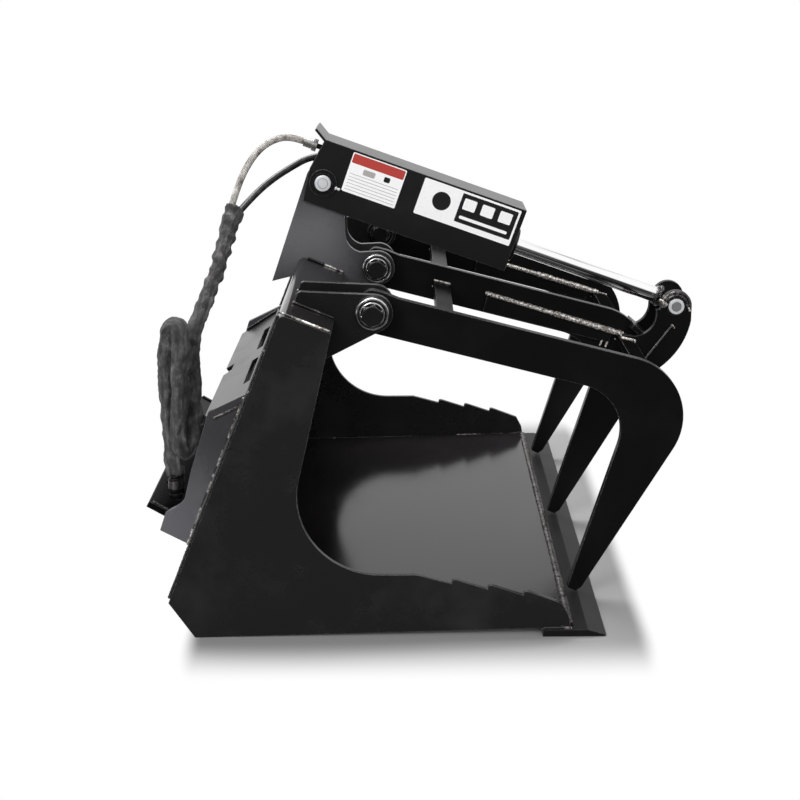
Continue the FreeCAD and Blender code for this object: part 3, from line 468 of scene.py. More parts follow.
class Finishes:
    """Every material of the part, made once."""

    def __init__(self) -> None:
        """Build the materials."""
        # These enamel copies are one black enamel with its body colour set lighter or darker piece by piece as
        # painted light: the lifted bodies are painted reflection and the darkest ones painted shade.
        self.enamel = GlossEnamel("gloss_black_enamel").build()
        self.side = GlossEnamel("side_plate_enamel", (0.011, 0.0105, 0.011), film=0.7).build()
        self.floor = GlossEnamel("floor_enamel", (0.013, 0.0118, 0.0126), roughness=0.13, film=0.25).build()
        self.tine = GlossEnamel(
            "tine_enamel", (0.0045, 0.0045, 0.0046), film=0.3, roughness=0.32, specular=0.15).build()
        # The tower's painted sheen rises from mid height and fades out near the top under the guard and towards the
        # front; the gusset's grows towards the bottom.
        self.tower = GlossEnamel(
            "tower_enamel", (0.020, 0.020, 0.0205), painted_sheen=(0.125, 0.123, 0.132), painted_sheen_rise=(0.40, 0.64),
            painted_sheen_back=(-0.09, -0.21), painted_sheen_top=(0.76, 0.62)).build()
        self.gusset = GlossEnamel(
            "gusset_enamel", (0.050, 0.049, 0.053), film=0.9, painted_sheen=(0.14, 0.138, 0.15),
            painted_sheen_rise=(0.34, 0.12)).build()
        self.shelf = GlossEnamel("shelf_enamel", (0.004, 0.004, 0.004), film=0.2, specular=0.05).build()
        self.bar = GlossEnamel(
            "front_bar_enamel", (0.004, 0.004, 0.004), roughness=0.55, film=0.3, specular=0.0).build()
        # Pale metal rims on the washers stand in for their bright arcs as painted highlight, broken into patches by a
        # high grime share.
        self.rim = Plating("washer_highlight_rim", (0.70, 0.70, 0.71), (0.03, 0.03, 0.03), 0.14, 0.95).build()
        self.cheek = GlossEnamel("guard_enamel", (0.0085, 0.008, 0.008), roughness=0.30).build()
        self.edge_bar = GlossEnamel(
            "edge_bar_enamel", (0.009, 0.0088, 0.009), (0.12, 0.115, 0.115), 0.40, specular=0.12).build()
        # Lighter enamel for the lug ridges: partly worn paint, partly painted highlight along the ridge.
        self.worn_and_highlit_edge = GlossEnamel("worn_and_highlit_edge_enamel", (0.05, 0.05, 0.052), (0.6, 0.6, 0.61), film=0.2).build()
        self.fastener = GlossEnamel("fastener_enamel", edge=(0.35, 0.35, 0.36), edge_radius=0.0012, film=0.2).build()
        self.zinc = Plating("zinc_plate", (0.80, 0.82, 0.84), metallic=0.35).build()
        self.steel = Plating("machined_steel", (0.50, 0.49, 0.48), roughness=0.38).build()
        self.worn_steel = Plating("worn_steel", (0.26, 0.27, 0.27), roughness=0.45, grime=0.8, metallic=0.4).build()
        self.dark_steel = Plating("oiled_steel", (0.16, 0.155, 0.15), (0.05, 0.045, 0.04)).build()
        self.chrome = HardChrome("hard_chrome").build()
        self.weld = WeldMetal("weld_metal", 0.16).build()
        self.glint_weld = WeldMetal("glint_weld", 0.50, lumps=110.0).build()
        self.eye_weld = WeldMetal("eye_weld", 0.60, 0.75, 150.0).build()
        self.painted_weld = WeldMetal("painted_weld", 0.72).build()
        self.seam_weld = WeldMetal("seam_weld", 0.40, 0.11, 120.0).build()
        self.smooth_hose = SmoothHose("smooth_hose").build()
        self.braid = BraidedCover("braided_cover").build()
        self.cloth = SleeveCloth("sleeve_cloth").build()
        self.white_film = Film("white_film", (0.98, 0.975, 0.98)).build()
        self.red_film = Film("red_film", (0.50, 0.045, 0.035)).build()
        self.grey_film = Film("grey_film", (0.42, 0.40, 0.40)).build()
        self.black_film = Film("black_film", (0.010, 0.010, 0.011)).build()


def linked(name: str, data: Any) -> bpy.types.Object:
    """Make an object at the origin from its data and link it to the scene."""
    made = bpy.data.objects.new(name, data)
    bpy.context.scene.collection.objects.link(made)
    return made


def mesh_object(
    name: str, verts: Iterable[Vector], faces: Iterable[Sequence[int]], smooth: bool = True,
    edges: Iterable[tuple[int, int]] = (),
) -> bpy.types.Object:
    """Make an object at the origin from points in metres, faces and loose edges."""
    mesh = bpy.data.meshes.new(name)
    mesh.from_pydata([tuple(vert) for vert in verts], list(edges), [tuple(face) for face in faces])
    mesh.polygons.foreach_set("use_smooth", [smooth] * len(mesh.polygons))
    return linked(name, mesh)


def face_outwards(piece: bpy.types.Object, angle: float = 32.0) -> bpy.types.Object:
    """Merge doubles, turn every face outwards and keep creases over an angle in degrees sharp."""
    work = bmesh.new()
    work.from_mesh(piece.data)
    bmesh.ops.remove_doubles(work, verts=work.verts, dist=1e-6)
    bmesh.ops.recalc_face_normals(work, faces=work.faces)
    for edge in work.edges:
        edge.smooth = not (len(edge.link_faces) == 2 and edge.calc_face_angle(0.0) > math.radians(angle))
    work.to_mesh(piece.data)
    work.free()
    return piece


def join(name: str, parts: Sequence[bpy.types.Object]) -> bpy.types.Object:
    """Join mesh objects into one, keeping each one's material.

    Args:
        name: The new object's name.
        parts: The objects, which are removed.

    Returns:
        The joined object.
    """
    work = bmesh.new()
    slots: list[bpy.types.Material] = []
    for part in parts:
        start = len(work.faces)
        work.from_mesh(part.data)
        work.faces.ensure_lookup_table()
        slots += [material for material in part.data.materials if material not in slots]
        local = [slots.index(material) for material in part.data.materials]
        for face in work.faces[start:]:
            face.material_index = local[face.material_index] if local else 0
        bpy.data.objects.remove(part)
    mesh = bpy.data.meshes.new(name)
    work.to_mesh(mesh)
    work.free()
    for material in slots:
        mesh.materials.append(material)
    return linked(name, mesh)


def dress(piece: bpy.types.Object, material: bpy.types.Material) -> bpy.types.Object:
    """Give a piece one material."""
    piece.data.materials.clear()
    piece.data.materials.append(material)
    return piece


def dress_nodes(choices: dict[str, bpy.types.Material]) -> None:
    """Give each named CAD node its material."""
    for name, material in choices.items():
        dress(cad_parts[name], material)


def spokes(way: Vector, side: Vector, count: int) -> list[tuple[float, Vector]]:
    """Return the angles and directions of points round a way, starting at one side of it."""
    other = way.cross(side)
    turns = [2.0 * math.pi * i / count for i in range(count)]
    return [(turn, side * math.cos(turn) + other * math.sin(turn)) for turn in turns]


def skin(name: str, rows: Sequence[Sequence[Vector]]) -> bpy.types.Object:
    """Skin closed rings of points, one after the other, and close both ends."""
    around = len(rows[0])
    faces = []
    for i in range(len(rows) - 1):
        for j in range(around):
            k = (j + 1) % around
            faces.append((i * around + j, i * around + k, (i + 1) * around + k, (i + 1) * around + j))
    last = (len(rows) - 1) * around
    faces += [tuple(range(around))[::-1], tuple(range(last, last + around))]
    return mesh_object(name, [vert for row in rows for vert in row], faces)


def turned(name: str, start: Vector, axis: Vector, profile: Sequence[Pair], segments: int = 48) -> bpy.types.Object:
    """Turn a profile about an axis."""
    way = axis.normalized()
    ring = spokes(way, way.orthogonal().normalized(), segments)
    rows = [
        [start + way * (along / 1000.0) + out * (radius / 1000.0) for _, out in ring]
        for along, radius in profile
    ]
    return face_outwards(skin(name, rows))


def hexagon(
    name: str, start: Vector, axis: Vector, flats: float, height: float, both: bool = False,
) -> bpy.types.Object:
    """Make a hexagon head or nut with turned chamfers.

    Args:
        name: The object's name.
        start: The middle of its bearing face.
        axis: The way its top faces.
        flats: Across flats, in millimetres.
        height: In millimetres.
        both: Whether both ends are chamfered.

    Returns:
        The object.
    """
    way = axis.normalized()
    crown = flats * 0.47
    rows: list[list[Vector]] = [[], [], [], []]
    for turn, out in spokes(way, way.orthogonal().normalized(), 72):
        radius = flats / 2.0 / math.cos((turn + math.pi / 6.0) % (math.pi / 3.0) - math.pi / 6.0)
        drop = max(0.0, (radius - crown) * 0.577)
        foot = (0.0, crown if both else radius)
        sizes = (foot, (drop if both else 0.0, radius), (height - drop, radius), (height, crown))
        for row, (along, reach) in zip(rows, sizes):
            row.append(start + way * (along / 1000.0) + out * (reach / 1000.0))
    return face_outwards(skin(name, rows), 14.0)


def plain_mesh(piece: bpy.types.Object) -> bpy.types.Object:
    """Turn a piece's modifiers into its plain mesh."""
    graph = bpy.context.evaluated_depsgraph_get()
    result = bpy.data.meshes.new_from_object(piece.evaluated_get(graph))
    piece.modifiers.clear()
    piece.data = result
    return piece


def route_line(points: Sequence[Point], name: str) -> list[Vector]:
    """Read points along a cord's own smooth spline.

    Args:
        points: The route's points in metres, as control points.
        name: A name for the working curve.

    Returns:
        Points along the spline.
    """
    data = bpy.data.curves.new(name, "CURVE")
    data.dimensions = "3D"
    spline = data.splines.new("NURBS")
    spline.points.add(len(points) - 1)
    for target, point in zip(spline.points, points):
        target.co = (*point, 1.0)
    spline.order_u = 3
    spline.use_endpoint_u = True
    spline.resolution_u = 24
    holder = linked(name, data)
    bpy.context.view_layer.update()
    line = bpy.data.meshes.new_from_object(holder.evaluated_get(bpy.context.evaluated_depsgraph_get()))
    found = [vert.co.copy() for vert in line.vertices]
    bpy.data.objects.remove(holder)
    bpy.data.meshes.remove(line)
    return found


def line_length(line: Sequence[Vector]) -> float:
    """Return the length of a row of points, in metres."""
    return sum((b - a).length for a, b in zip(line, line[1:]))


def even_line(line: Sequence[Vector], gap: float) -> list[Vector]:
    """Return points about a gap in metres apart along a line, with both its ends kept."""
    total = line_length(line)
    count = max(2, round(total / gap))
    result = [line[0].copy()]
    step, passed, index = total / count, 0.0, 0
    for i in range(1, count):
        target = i * step
        while passed + (line[index + 1] - line[index]).length < target:
            passed += (line[index + 1] - line[index]).length
            index += 1
        run = (line[index + 1] - line[index]).length
        result.append(line[index].lerp(line[index + 1], (target - passed) / run))
    result.append(line[-1].copy())
    return result


def tube(
    name: str, line: Sequence[Vector], shape: Callable[[float, float], float], around: int, metres_round: bool,
) -> bpy.types.Object:
    """Skin a line with rings and give it a UV map.

    Args:
        name: The object's name.
        line: Points along the middle, in metres.
        shape: The radius in metres at a distance along and an angle round.
        around: Points in a ring.
        metres_round: Whether UV x is metres round the tube, or turns.

    Returns:
        The object.
    """
    normal = (line[1] - line[0]).orthogonal().normalized()
    rows = []
    distances = [0.0]
    for i, point in enumerate(line):
        way = (line[min(i + 1, len(line) - 1)] - line[max(i - 1, 0)]).normalized()
        normal = (normal - way * normal.dot(way)).normalized()
        if i:
            distances.append(distances[-1] + (point - line[i - 1]).length)
        rows.append([point + out * shape(distances[i], turn) for turn, out in spokes(way, normal, around)])
    made = skin(name, rows)
    layer = made.data.uv_layers.new(name="along")
    size = 2.0 * math.pi * shape(0.0, 0.0) if metres_round else 1.0
    for index in range((len(line) - 1) * around):
        i, j = divmod(index, around)
        corners = ((i, j), (i, j + 1), (i + 1, j + 1), (i + 1, j))
        for loop, (row, column) in zip(made.data.polygons[index].loop_indices, corners):
            layer.data[loop].uv = (column / around * size, distances[row])
    return face_outwards(made, 80.0)


def arc_points(middle: Vector, radius: float, first: float = 0.0, last: float = 360.0) -> list[Vector]:
    """Return points 12 degrees apart on an arc square to Y, with its radius in millimetres."""
    count = max(2, round((last - first) / 12.0))
    turns = [math.radians(first + (last - first) * i / count) for i in range(count + 1)]
    return [middle + Vector((math.cos(turn), 0.0, math.sin(turn))) * (radius / 1000.0) for turn in turns]


@dataclass
class WeldRun:
    """One seam: a line, and the width of the bead on it in millimetres."""

    points: list[Vector]
    width: float


def seam(width: float, *points: Point) -> WeldRun:
    """Return a seam through points in profile millimetres."""
    return WeldRun([place(*point) for point in points], width)


class PieceTree(Graph):
    """Geometry nodes that repeat something along a wire of edges."""

    def __init__(self, name: str, inputs: dict[str, tuple[str, Any]]) -> None:
        """Make the tree's named inputs, its output and the wire's curve.

        Args:
            name: The tree's name.
            inputs: The kind and first value of each input.
        """
        super().__init__(bpy.data.node_groups.new(name, "GeometryNodeTree"))
        face = self.tree.interface
        face.new_socket("Line", in_out="INPUT", socket_type="NodeSocketGeometry")
        self.keys = {}
        for key, (kind, value) in (inputs | {"Finish": ("Material", None)}).items():
            socket = face.new_socket(key, in_out="INPUT", socket_type="NodeSocket" + kind)
            self.keys[key] = socket.identifier
            if value is not None:
                socket.default_value = value
        face.new_socket("Piece", in_out="OUTPUT", socket_type="NodeSocketGeometry")
        self.given = self.node("NodeGroupInput", {}, {})
        self.line = self.node("GeometryNodeMeshToCurve", {}, {"Mesh": self.given["Line"]})[0]

    def repeat(self, mode: str, spacing: str, axis: str, instance: dict[str, Wire]) -> None:
        """Set an instance on even points of the wire, and end the tree."""
        socket, given = spacing.split("=")
        values = {"Curve": self.line, socket: self.given[given]}
        even = self.node("GeometryNodeResampleCurve", {"mode": mode}, values)[0]
        way = self.node("GeometryNodeInputTangent", {}, {})[0]
        turn = self.node("FunctionNodeAlignRotationToVector", {"axis": axis}, {"Vector": way})[0]
        laid = self.node("GeometryNodeInstanceOnPoints", {}, {"Points": even, "Rotation": turn} | instance)[0]
        real = self.node("GeometryNodeRealizeInstances", {}, {"Geometry": laid})[0]
        done = self.node("GeometryNodeSetMaterial", {}, {"Geometry": real, "Material": self.given["Finish"]})[0]
        self.node("NodeGroupOutput", {}, {"Piece": done})

    def run(
        self, name: str, verts: Sequence[Vector], edges: Sequence[tuple[int, int]], values: dict[str, Any],
    ) -> bpy.types.Object:
        """Return the plain mesh that the tree makes on a wire, with its inputs' values."""
        piece = mesh_object(name, verts, [], edges=edges)
        modifier = piece.modifiers.new("nodes", "NODES")
        modifier.node_group = self.tree
        for key, value in values.items():
            modifier[self.keys[key]] = value
        return plain_mesh(piece)


class WeldTree(PieceTree):
    """Geometry nodes that lay a rippled weld bead along edges."""

    FINE_RIPPLE = 0.0026
    COARSE_RIPPLE = 0.0032
    COARSE_WIDTH = 8.0

    def __init__(self) -> None:
        """Build the tree with its named inputs."""
        inputs = {"Width": ("Float", 0.007), "Ripple": ("Float", self.FINE_RIPPLE), "Seed": ("Int", 3)}
        super().__init__("weld_bead", inputs)
        drop = self.node("GeometryNodeMeshIcoSphere", {}, {"Radius": 0.5, "Subdivisions": 2})[0]
        smooth = self.node("GeometryNodeSetShadeSmooth", {}, {"Geometry": drop})[0]
        values = {"Min_001": 0.86, "Max_001": 1.12, "Seed": self.given["Seed"]}
        wide = self.given["Width"] * self.node("FunctionNodeRandomValue", {"data_type": "FLOAT"}, values)["Value_001"]
        values = {"X": self.given["Ripple"] * 2.1, "Y": wide, "Z": wide * 0.72}
        size = self.node("ShaderNodeCombineXYZ", {}, values)[0]
        self.repeat("LENGTH", "Length=Ripple", "X", {"Instance": smooth, "Scale": size})

    def lay(self, name: str, runs: Iterable[WeldRun], finish: bpy.types.Material, seed: int, body: Body) -> None:
        """Lay beads along seams as one plain mesh.

        Args:
            name: The piece's name.
            runs: The seams. Those of one width are laid together.
            finish: The bead's material.
            seed: For the ripples' sizes.
            body: What the piece moves with.
        """
        widths: dict[float, list[WeldRun]] = {}
        for run in runs:
            widths.setdefault(run.width, []).append(run)
        parts = []
        for width, group in sorted(widths.items()):
            verts: list[Vector] = []
            edges: list[tuple[int, int]] = []
            for run in group:
                start = len(verts)
                verts += run.points
                edges += [(i, i + 1) for i in range(start, len(verts) - 1)]
            ripple = self.FINE_RIPPLE if width < self.COARSE_WIDTH else self.COARSE_RIPPLE
            values = {"Width": width / 1000.0, "Ripple": ripple, "Seed": seed, "Finish": finish}
            parts.append(self.run(name + "_part", verts, edges, values))
        piece = join(name, parts)
        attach(piece, body.value)
        LOG.info("%s: %d faces", name, len(piece.data.polygons))


class RingTree(PieceTree):
    """Geometry nodes that repeat a ring along a straight line, for knurls, crimps and threads."""

    def __init__(self) -> None:
        """Build the tree with its named inputs."""
        super().__init__("ring_row", {"Count": ("Int", 4), "Radius": ("Float", 0.01), "Round": ("Float", 0.0006)})
        circle, wire = (
            self.node("GeometryNodeCurvePrimitiveCircle", {}, {"Resolution": steps, "Radius": self.given[key]})[0]
            for steps, key in ((40, "Radius"), (8, "Round"))
        )
        ring = self.node("GeometryNodeCurveToMesh", {}, {"Curve": circle, "Profile Curve": wire})[0]
        self.repeat("COUNT", "Count=Count", "Z", {"Instance": ring})

    def row(
        self, name: str, start: Vector, shift: Vector, count: int, radius: float, thick: float,
        finish: bpy.types.Material,
    ) -> bpy.types.Object:
        """Make a row of rings."""
        values = {"Count": count, "Radius": radius / 1000.0, "Round": thick / 1000.0, "Finish": finish}
        return face_outwards(self.run(name, [start, start + shift], [(0, 1)], values), 60.0)


@dataclass
class CylinderLine:
    """The cylinder's own frame: distance along it from the base pin, and height over its axis."""

    base: Pair = (-148.0, 721.0)
    tip: Pair = (540.0, 470.0)

    @property
    def way(self) -> Vector:
        """Return the way along the cylinder."""
        return Vector((self.tip[0] - self.base[0], 0.0, self.tip[1] - self.base[1])).normalized()

    @property
    def up(self) -> Vector:
        """Return the way square to it, upwards."""
        return Vector((-self.way.z, 0.0, self.way.x))

    def at(self, along: float, y: float, high: float) -> Vector:
        """Return a point given in millimetres in the cylinder's frame."""
        return place(self.base[0], y, self.base[1]) + (self.way * along + self.up * high) / 1000.0


@dataclass
class BucketShellDress:
    """Enamel and welds of the fixed weldment."""

    finishes: Finishes
    beads: WeldTree
    half_inside: float = 525.5
    half_width: float = 533.5
    edge_rear: float = 241.0
    lap_front: float = 286.0
    bar_thick: float = 12.7
    mount_half: float = 347.0
    stations: tuple[tuple[float, tuple[float, ...]], ...] = (
        (-384.0, (-45.0, -35.0, 35.0, 45.0)), (0.0, (-48.0, -38.0, 38.0, 48.0)), (384.0, (-45.0, -35.0, 35.0, 45.0)),
    )
    enamelled: tuple[str, ...] = (
        "mount_top_plate", "near_bracket_outer", "near_bracket_inner", "far_bracket_inner", "far_bracket_outer",
        "tower_spacer", "pivot_bosses",
    )

    def painted_seams(self) -> list[WeldRun]:
        """Return the weldment's painted seams."""
        runs = []
        for side in Side:
            sign = side.value
            inner = sign * (self.half_inside - 2.0)
            outer = sign * (self.half_width + 1.0)
            corner = sign * (self.half_width - 5.0)
            mount = sign * (self.mount_half - 12.0)
            top = self.bar_thick + 1.0
            runs += [
                seam(6.0, (-350.0, inner, 9.0), (self.edge_rear, inner, 15.0), (self.lap_front, inner, 21.0)),
                seam(6.0, (back_x(80.0) + 8.0, inner, 80.0), (back_x(560.0) + 8.0, inner, 560.0)),
                seam(9.0, (self.edge_rear + 4.0, outer, top), (288.0, outer, top)),
                seam(9.0, (back_x(76.0) - 2.0, corner, 76.0), (back_x(572.0) - 2.0, corner, 572.0)),
                seam(7.0, (back_x(379.0) - 4.0, mount, 380.0), (back_x(379.0) - 74.0, mount, 337.0)),
                seam(7.0, (back_x(128.0) - 6.0, mount, 133.0), (back_x(128.0) - 78.0, mount, 177.0)),
            ]
        for x, z in ((back_x(382.0) - 2.0, 382.0), (back_x(132.0) - 3.0, 133.0)):
            runs.append(seam(6.0, (x, -330.0, z), (x, 330.0, z)))
        for middle, faces in self.stations:
            for index, face in enumerate(faces):
                y = middle + face + (-1.5 if index % 2 == 0 else 1.5)
                runs.append(seam(6.0, (back_x(412.0) + 9.0, y, 412.0), (back_x(560.0) + 9.0, y, 560.0)))
            for face, sign in ((faces[0], -1.0), (faces[-1], 1.0)):
                runs.append(WeldRun(arc_points(place(PIVOT[0], middle + face + sign * 1.0, PIVOT[1]), 28.5), 4.0))
        return runs

    def bare_seams(self) -> list[WeldRun]:
        """Return the short seams whose metal shows, laid in the glint finish with its painted highlight specks."""
        runs = []
        for side in Side:
            y = side.value * (self.mount_half + 1.0)
            corner = side.value * (self.half_width - 5.0)
            root = side.value * (self.half_inside - 2.0)
            end = side.value * (self.half_width + 2.0)
            runs += [
                seam(7.0, (-338.0, y, 343.0), (-323.0, y, 350.0), (-296.0, y, 363.0)),
                seam(8.0, (back_x(100.0) - 6.0, y, 100.0), (back_x(378.0) - 6.0, y, 378.0)),
                seam(6.0, (-196.0, corner, 579.0), (-116.0, corner, 546.0)),
                seam(8.0, (130.0, root, 14.5), (self.edge_rear, root, 16.0)),
                seam(8.0, (self.edge_rear - 1.0, end, 12.0), (self.edge_rear + 6.0, end, 14.5)),
                seam(8.0, (275.0, end, 15.0), (289.0, end, 13.0)),
            ]
        for middle, faces in self.stations:
            for y in (middle + faces[0] - 1.5, middle + faces[-1] + 1.5):
                runs.append(seam(6.0, (-180.0, y, 573.0), (-116.0, y, 546.0)))
        return runs

    def build(self) -> None:
        """Dress the plates and lay their welds."""
        kit = self.finishes
        dress_nodes(dict.fromkeys(self.enamelled, kit.enamel))
        dress_nodes({
            "bucket_shell": kit.floor, "near_side_plate": kit.side, "far_side_plate": kit.side,
            "mount_near_gusset": kit.gusset, "mount_far_gusset": kit.gusset, "near_tower": kit.tower,
            "far_tower": kit.tower, "mount_bottom_flange": kit.shelf, "cutting_edge": kit.edge_bar,
        })
        lap = [(self.lap_front + 2.0, side.value * (self.half_inside - 2.0), 16.5) for side in Side]
        self.beads.lay("bucket_welds", self.painted_seams(), kit.painted_weld, 11, Body.BUCKET)
        self.beads.lay("bare_welds", [seam(15.0, *lap)], kit.seam_weld, 17, Body.BUCKET)
        self.beads.lay("glint_welds", self.bare_seams(), kit.glint_weld, 17, Body.BUCKET)


@dataclass
class JawDress:
    """Enamel, welds and pins of the three-tine jaw."""

    finishes: Finishes
    beads: WeldTree
    tine_offset: float = 384.0
    half_tine: float = 8.0
    slope: float = math.radians(-15.0)
    painted: tuple[str, ...] = (
        "near_tine", "centre_tine", "far_tine", "rear_cross_bar", "tine_doublers", "near_lug", "far_lug",
        "lug_bridge",
    )
    lug_seams: tuple[tuple[float, float, Pair, Pair], ...] = (
        (8.0, 40.0, (437.0, 408.0), (462.0, 402.0)), (9.0, 54.0, (436.0, 407.5), (461.0, 401.0)),
        (7.0, 54.0, (461.0, 400.0), (459.0, 386.0)), (11.0, 55.5, (509.0, 482.0), (520.0, 474.0)),
        (6.0, 54.5, (565.0, 466.0), (567.0, 461.0)), (6.0, 52.5, (534.0, 432.0), (538.0, 427.0)),
        (7.0, 14.0, (398.0, 383.0), (401.0, 391.0)), (7.0, 14.0, (409.0, 380.0), (412.0, 388.0)),
    )

    def on_arm(self, start: Pair, along: float, high: float, y: float) -> Point:
        """Return the point that lies along and over an arm's slope from a start, in millimetres."""
        x = start[0] + along * math.cos(self.slope) - high * math.sin(self.slope)
        return (x, y, start[1] + along * math.sin(self.slope) + high * math.cos(self.slope))

    def seams(self) -> list[WeldRun]:
        """Return the seams that show their bare metal."""
        runs = []
        for middle in (0.0, self.tine_offset):
            y = middle - self.half_tine - 5.0
            line = [self.on_arm(PIVOT, 226.0 + 71.5 * i, -3.4 - 3.25 * i, y) for i in range(5)]
            runs += [seam(13.0, *line[:3]), seam(17.0, *line[2:])]
        for bar in ((79.0, 508.0), (446.0, 396.0)):
            for y in (-375.0, -9.0, 9.0, 375.0):
                for high in (-6.5, 6.5):
                    runs.append(seam(6.0, *(self.on_arm(bar, along, high, y) for along in (-15.0, 15.0))))
        for side in Side:
            for width, y, *line in self.lug_seams:
                runs.append(seam(width, *((x, side.value * y, z) for x, z in line)))
        return runs

    def ridge(self) -> None:
        """Make the narrow stiffening ridge on each lug's outer face."""
        low, high = place(479.0, 0.0, 360.0), place(532.0, 0.0, 430.0)
        way = (high - low).normalized()
        out = Vector((-way.z, 0.0, way.x)) * 0.0014
        faces = [(0, 1, 3, 2), (4, 6, 7, 5), (0, 4, 5, 1), (2, 3, 7, 6), (1, 5, 7, 3), (0, 2, 6, 4)]
        parts = []
        for side in Side:
            levels = [Vector((0.0, side.value * y, 0.0)) for y in (0.0515, 0.0555)]
            verts = [end + shift + level for end in (low, high) for shift in (out, -out) for level in levels]
            # The ridges' lighter enamel is partly wear and partly painted highlight.
            parts.append(dress(face_outwards(mesh_object("ridge", verts, faces, False)), self.finishes.worn_and_highlit_edge))
        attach(join("lug_ridges", parts), Body.JAW.value)

    def build(self) -> None:
        """Dress the jaw and lay its welds."""
        kit = self.finishes
        dress_nodes(dict.fromkeys(self.painted, kit.tine))
        dress_nodes({"front_cross_bar": kit.bar, "tine_bushes": kit.dark_steel})
        arcs = [
            WeldRun(arc_points(place(540.0, side.value * 52.3, 470.0), radius, 0.0, 180.0), 8.0)
            for side in Side for radius in (22.5, 27.5)
        ]
        self.beads.lay("eye_welds", arcs, kit.eye_weld, 19, Body.JAW)
        self.beads.lay("jaw_welds", self.seams(), kit.weld, 23, Body.JAW)
        self.ridge()
        RoundPin(kit, "rod_pin", place(540.0, 0.0, 470.0), 52.5, Body.JAW).build()


@dataclass
class RoundPin:
    """A pin across the bucket with a turned head at each end."""

    finishes: Finishes
    node: str
    middle: Vector
    half: float
    body: Body
    shank: float = 10.9
    head: float = 15.5
    head_high: float = 6.0
    recess: float = 6.2
    grease: bool = False

    def build(self) -> None:
        """Turn the pin, and its grease nipple where it has one."""
        kit = self.finishes
        high, rim, cup = self.head_high, self.head, self.head - self.recess
        turnings = (
            ("head", kit.zinc,
             [(0.0, rim), (high - 1.6, rim), (high - 0.4, rim - 0.7), (high, rim - 1.8), (high, cup)]),
            ("disc", kit.zinc if self.grease else kit.worn_steel,
             [(high - 0.6, cup - 0.3), (high + 0.05, cup - 0.3), (high + 0.15, cup - 1.0), (high + 0.15, 0.3)]),
            ("groove", kit.dark_steel,
             [(high - 0.3, cup + 0.4), (high + 0.03, cup + 0.4), (high + 0.03, cup - 0.5), (high - 0.3, cup - 0.5)]),
            ("washer", kit.shelf, [(0.0, rim + 4.0), (1.6, rim + 4.0), (2.4, rim + 3.2), (2.4, rim - 1.0)]),
        )
        parts = []
        for side in Side:
            way = ACROSS * side.value
            for name, finish, profile in turnings:
                parts.append(dress(turned(name, self.middle + way * (self.half / 1000.0), way, profile), finish))
        start = self.middle - ACROSS * (self.half / 1000.0)
        shank = [(0.0, self.shank), (2.0 * self.half, self.shank)]
        parts.append(dress(turned("shank", start, ACROSS, shank), kit.zinc))
        if self.grease:
            way = Vector((0.92, 0.0, -0.39)).normalized()
            foot = self.middle + way * 0.0245 - ACROSS * ((self.half - 3.2) / 1000.0)
            nipple = [(0.0, 3.8), (3.0, 3.8), (3.4, 2.3), (6.6, 2.1), (7.4, 3.1), (9.2, 3.1), (10.4, 1.4)]
            parts.append(dress(turned("nipple", foot, way, nipple, 24), kit.zinc))
        pin = join(self.node + "_turned", parts)
        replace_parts(pin, self.node)
        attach(pin, self.body.value)
        LOG.info("%s: turned pin", self.node)


@dataclass
class PivotBolts:
    """The three hexagon bolts that the jaw turns on, with nuts and washers."""

    finishes: Finishes
    rings: RingTree
    stations: tuple[tuple[str, float, float], ...] = (
        ("near", -384.0, 45.0), ("centre", 0.0, 48.0), ("far", 384.0, 45.0),
    )
    boss: float = 12.0
    washer: float = 3.0
    flats: float = 33.3
    high: float = 14.0
    shank: float = 11.1

    def bolt(self, name: str, middle: float, half: float) -> bpy.types.Object:
        """Make one bolt with its nut, thread and washer rims.

        Args:
            name: Which pivot it is.
            middle: The pivot's distance across.
            half: Half the width of what it clamps, without bosses.

        Returns:
            The bolt.
        """
        black = self.finishes.fastener
        reach = half + self.boss + self.washer
        near, far = (place(PIVOT[0], middle + sign * reach, PIVOT[1]) for sign in (-1.0, 1.0))
        end = 2.0 * reach + self.high + 5.0
        profile = [(0.0, self.shank), (end - 1.0, self.shank), (end + 1.0, self.shank - 2.0)]
        thread = far + ACROSS * ((self.high + 0.8) / 1000.0)
        parts = [
            dress(hexagon("head", near, -ACROSS, self.flats, self.high), black),
            dress(turned("shank", near, ACROSS, profile), black),
            dress(hexagon("nut", far, ACROSS, self.flats, self.high, True), black),
            self.rings.row("thread", thread, ACROSS * 0.0038, 3, self.shank, 0.5, black),
        ]
        # The near and centre bolts get the pale rims as painted highlight; the far bolt keeps black ones.
        rim = black if middle > 0.0 else self.finishes.rim
        for out, radius, thick in ((half + self.boss, 26.0, 2.6), (reach, 19.6, 2.0)):
            face = place(PIVOT[0], middle - out, PIVOT[1])
            parts.append(self.rings.row("rim", face, ACROSS * 0.0012, 2, radius, thick, rim))
        bolt = join(name + "_bolt_set", parts)
        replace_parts(bolt, name + "_pivot_bolt")
        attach(bolt, Body.BUCKET.value)
        LOG.info("%s pivot bolt", name)
        return bolt

    def build(self) -> None:
        """Make the bolts and dress the washers. The near bolt stands for the nuts too."""
        bolts = [self.bolt(*station) for station in self.stations]
        dress_nodes({"pivot_washers": self.finishes.fastener})
        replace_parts(bolts[0], "pivot_nuts")


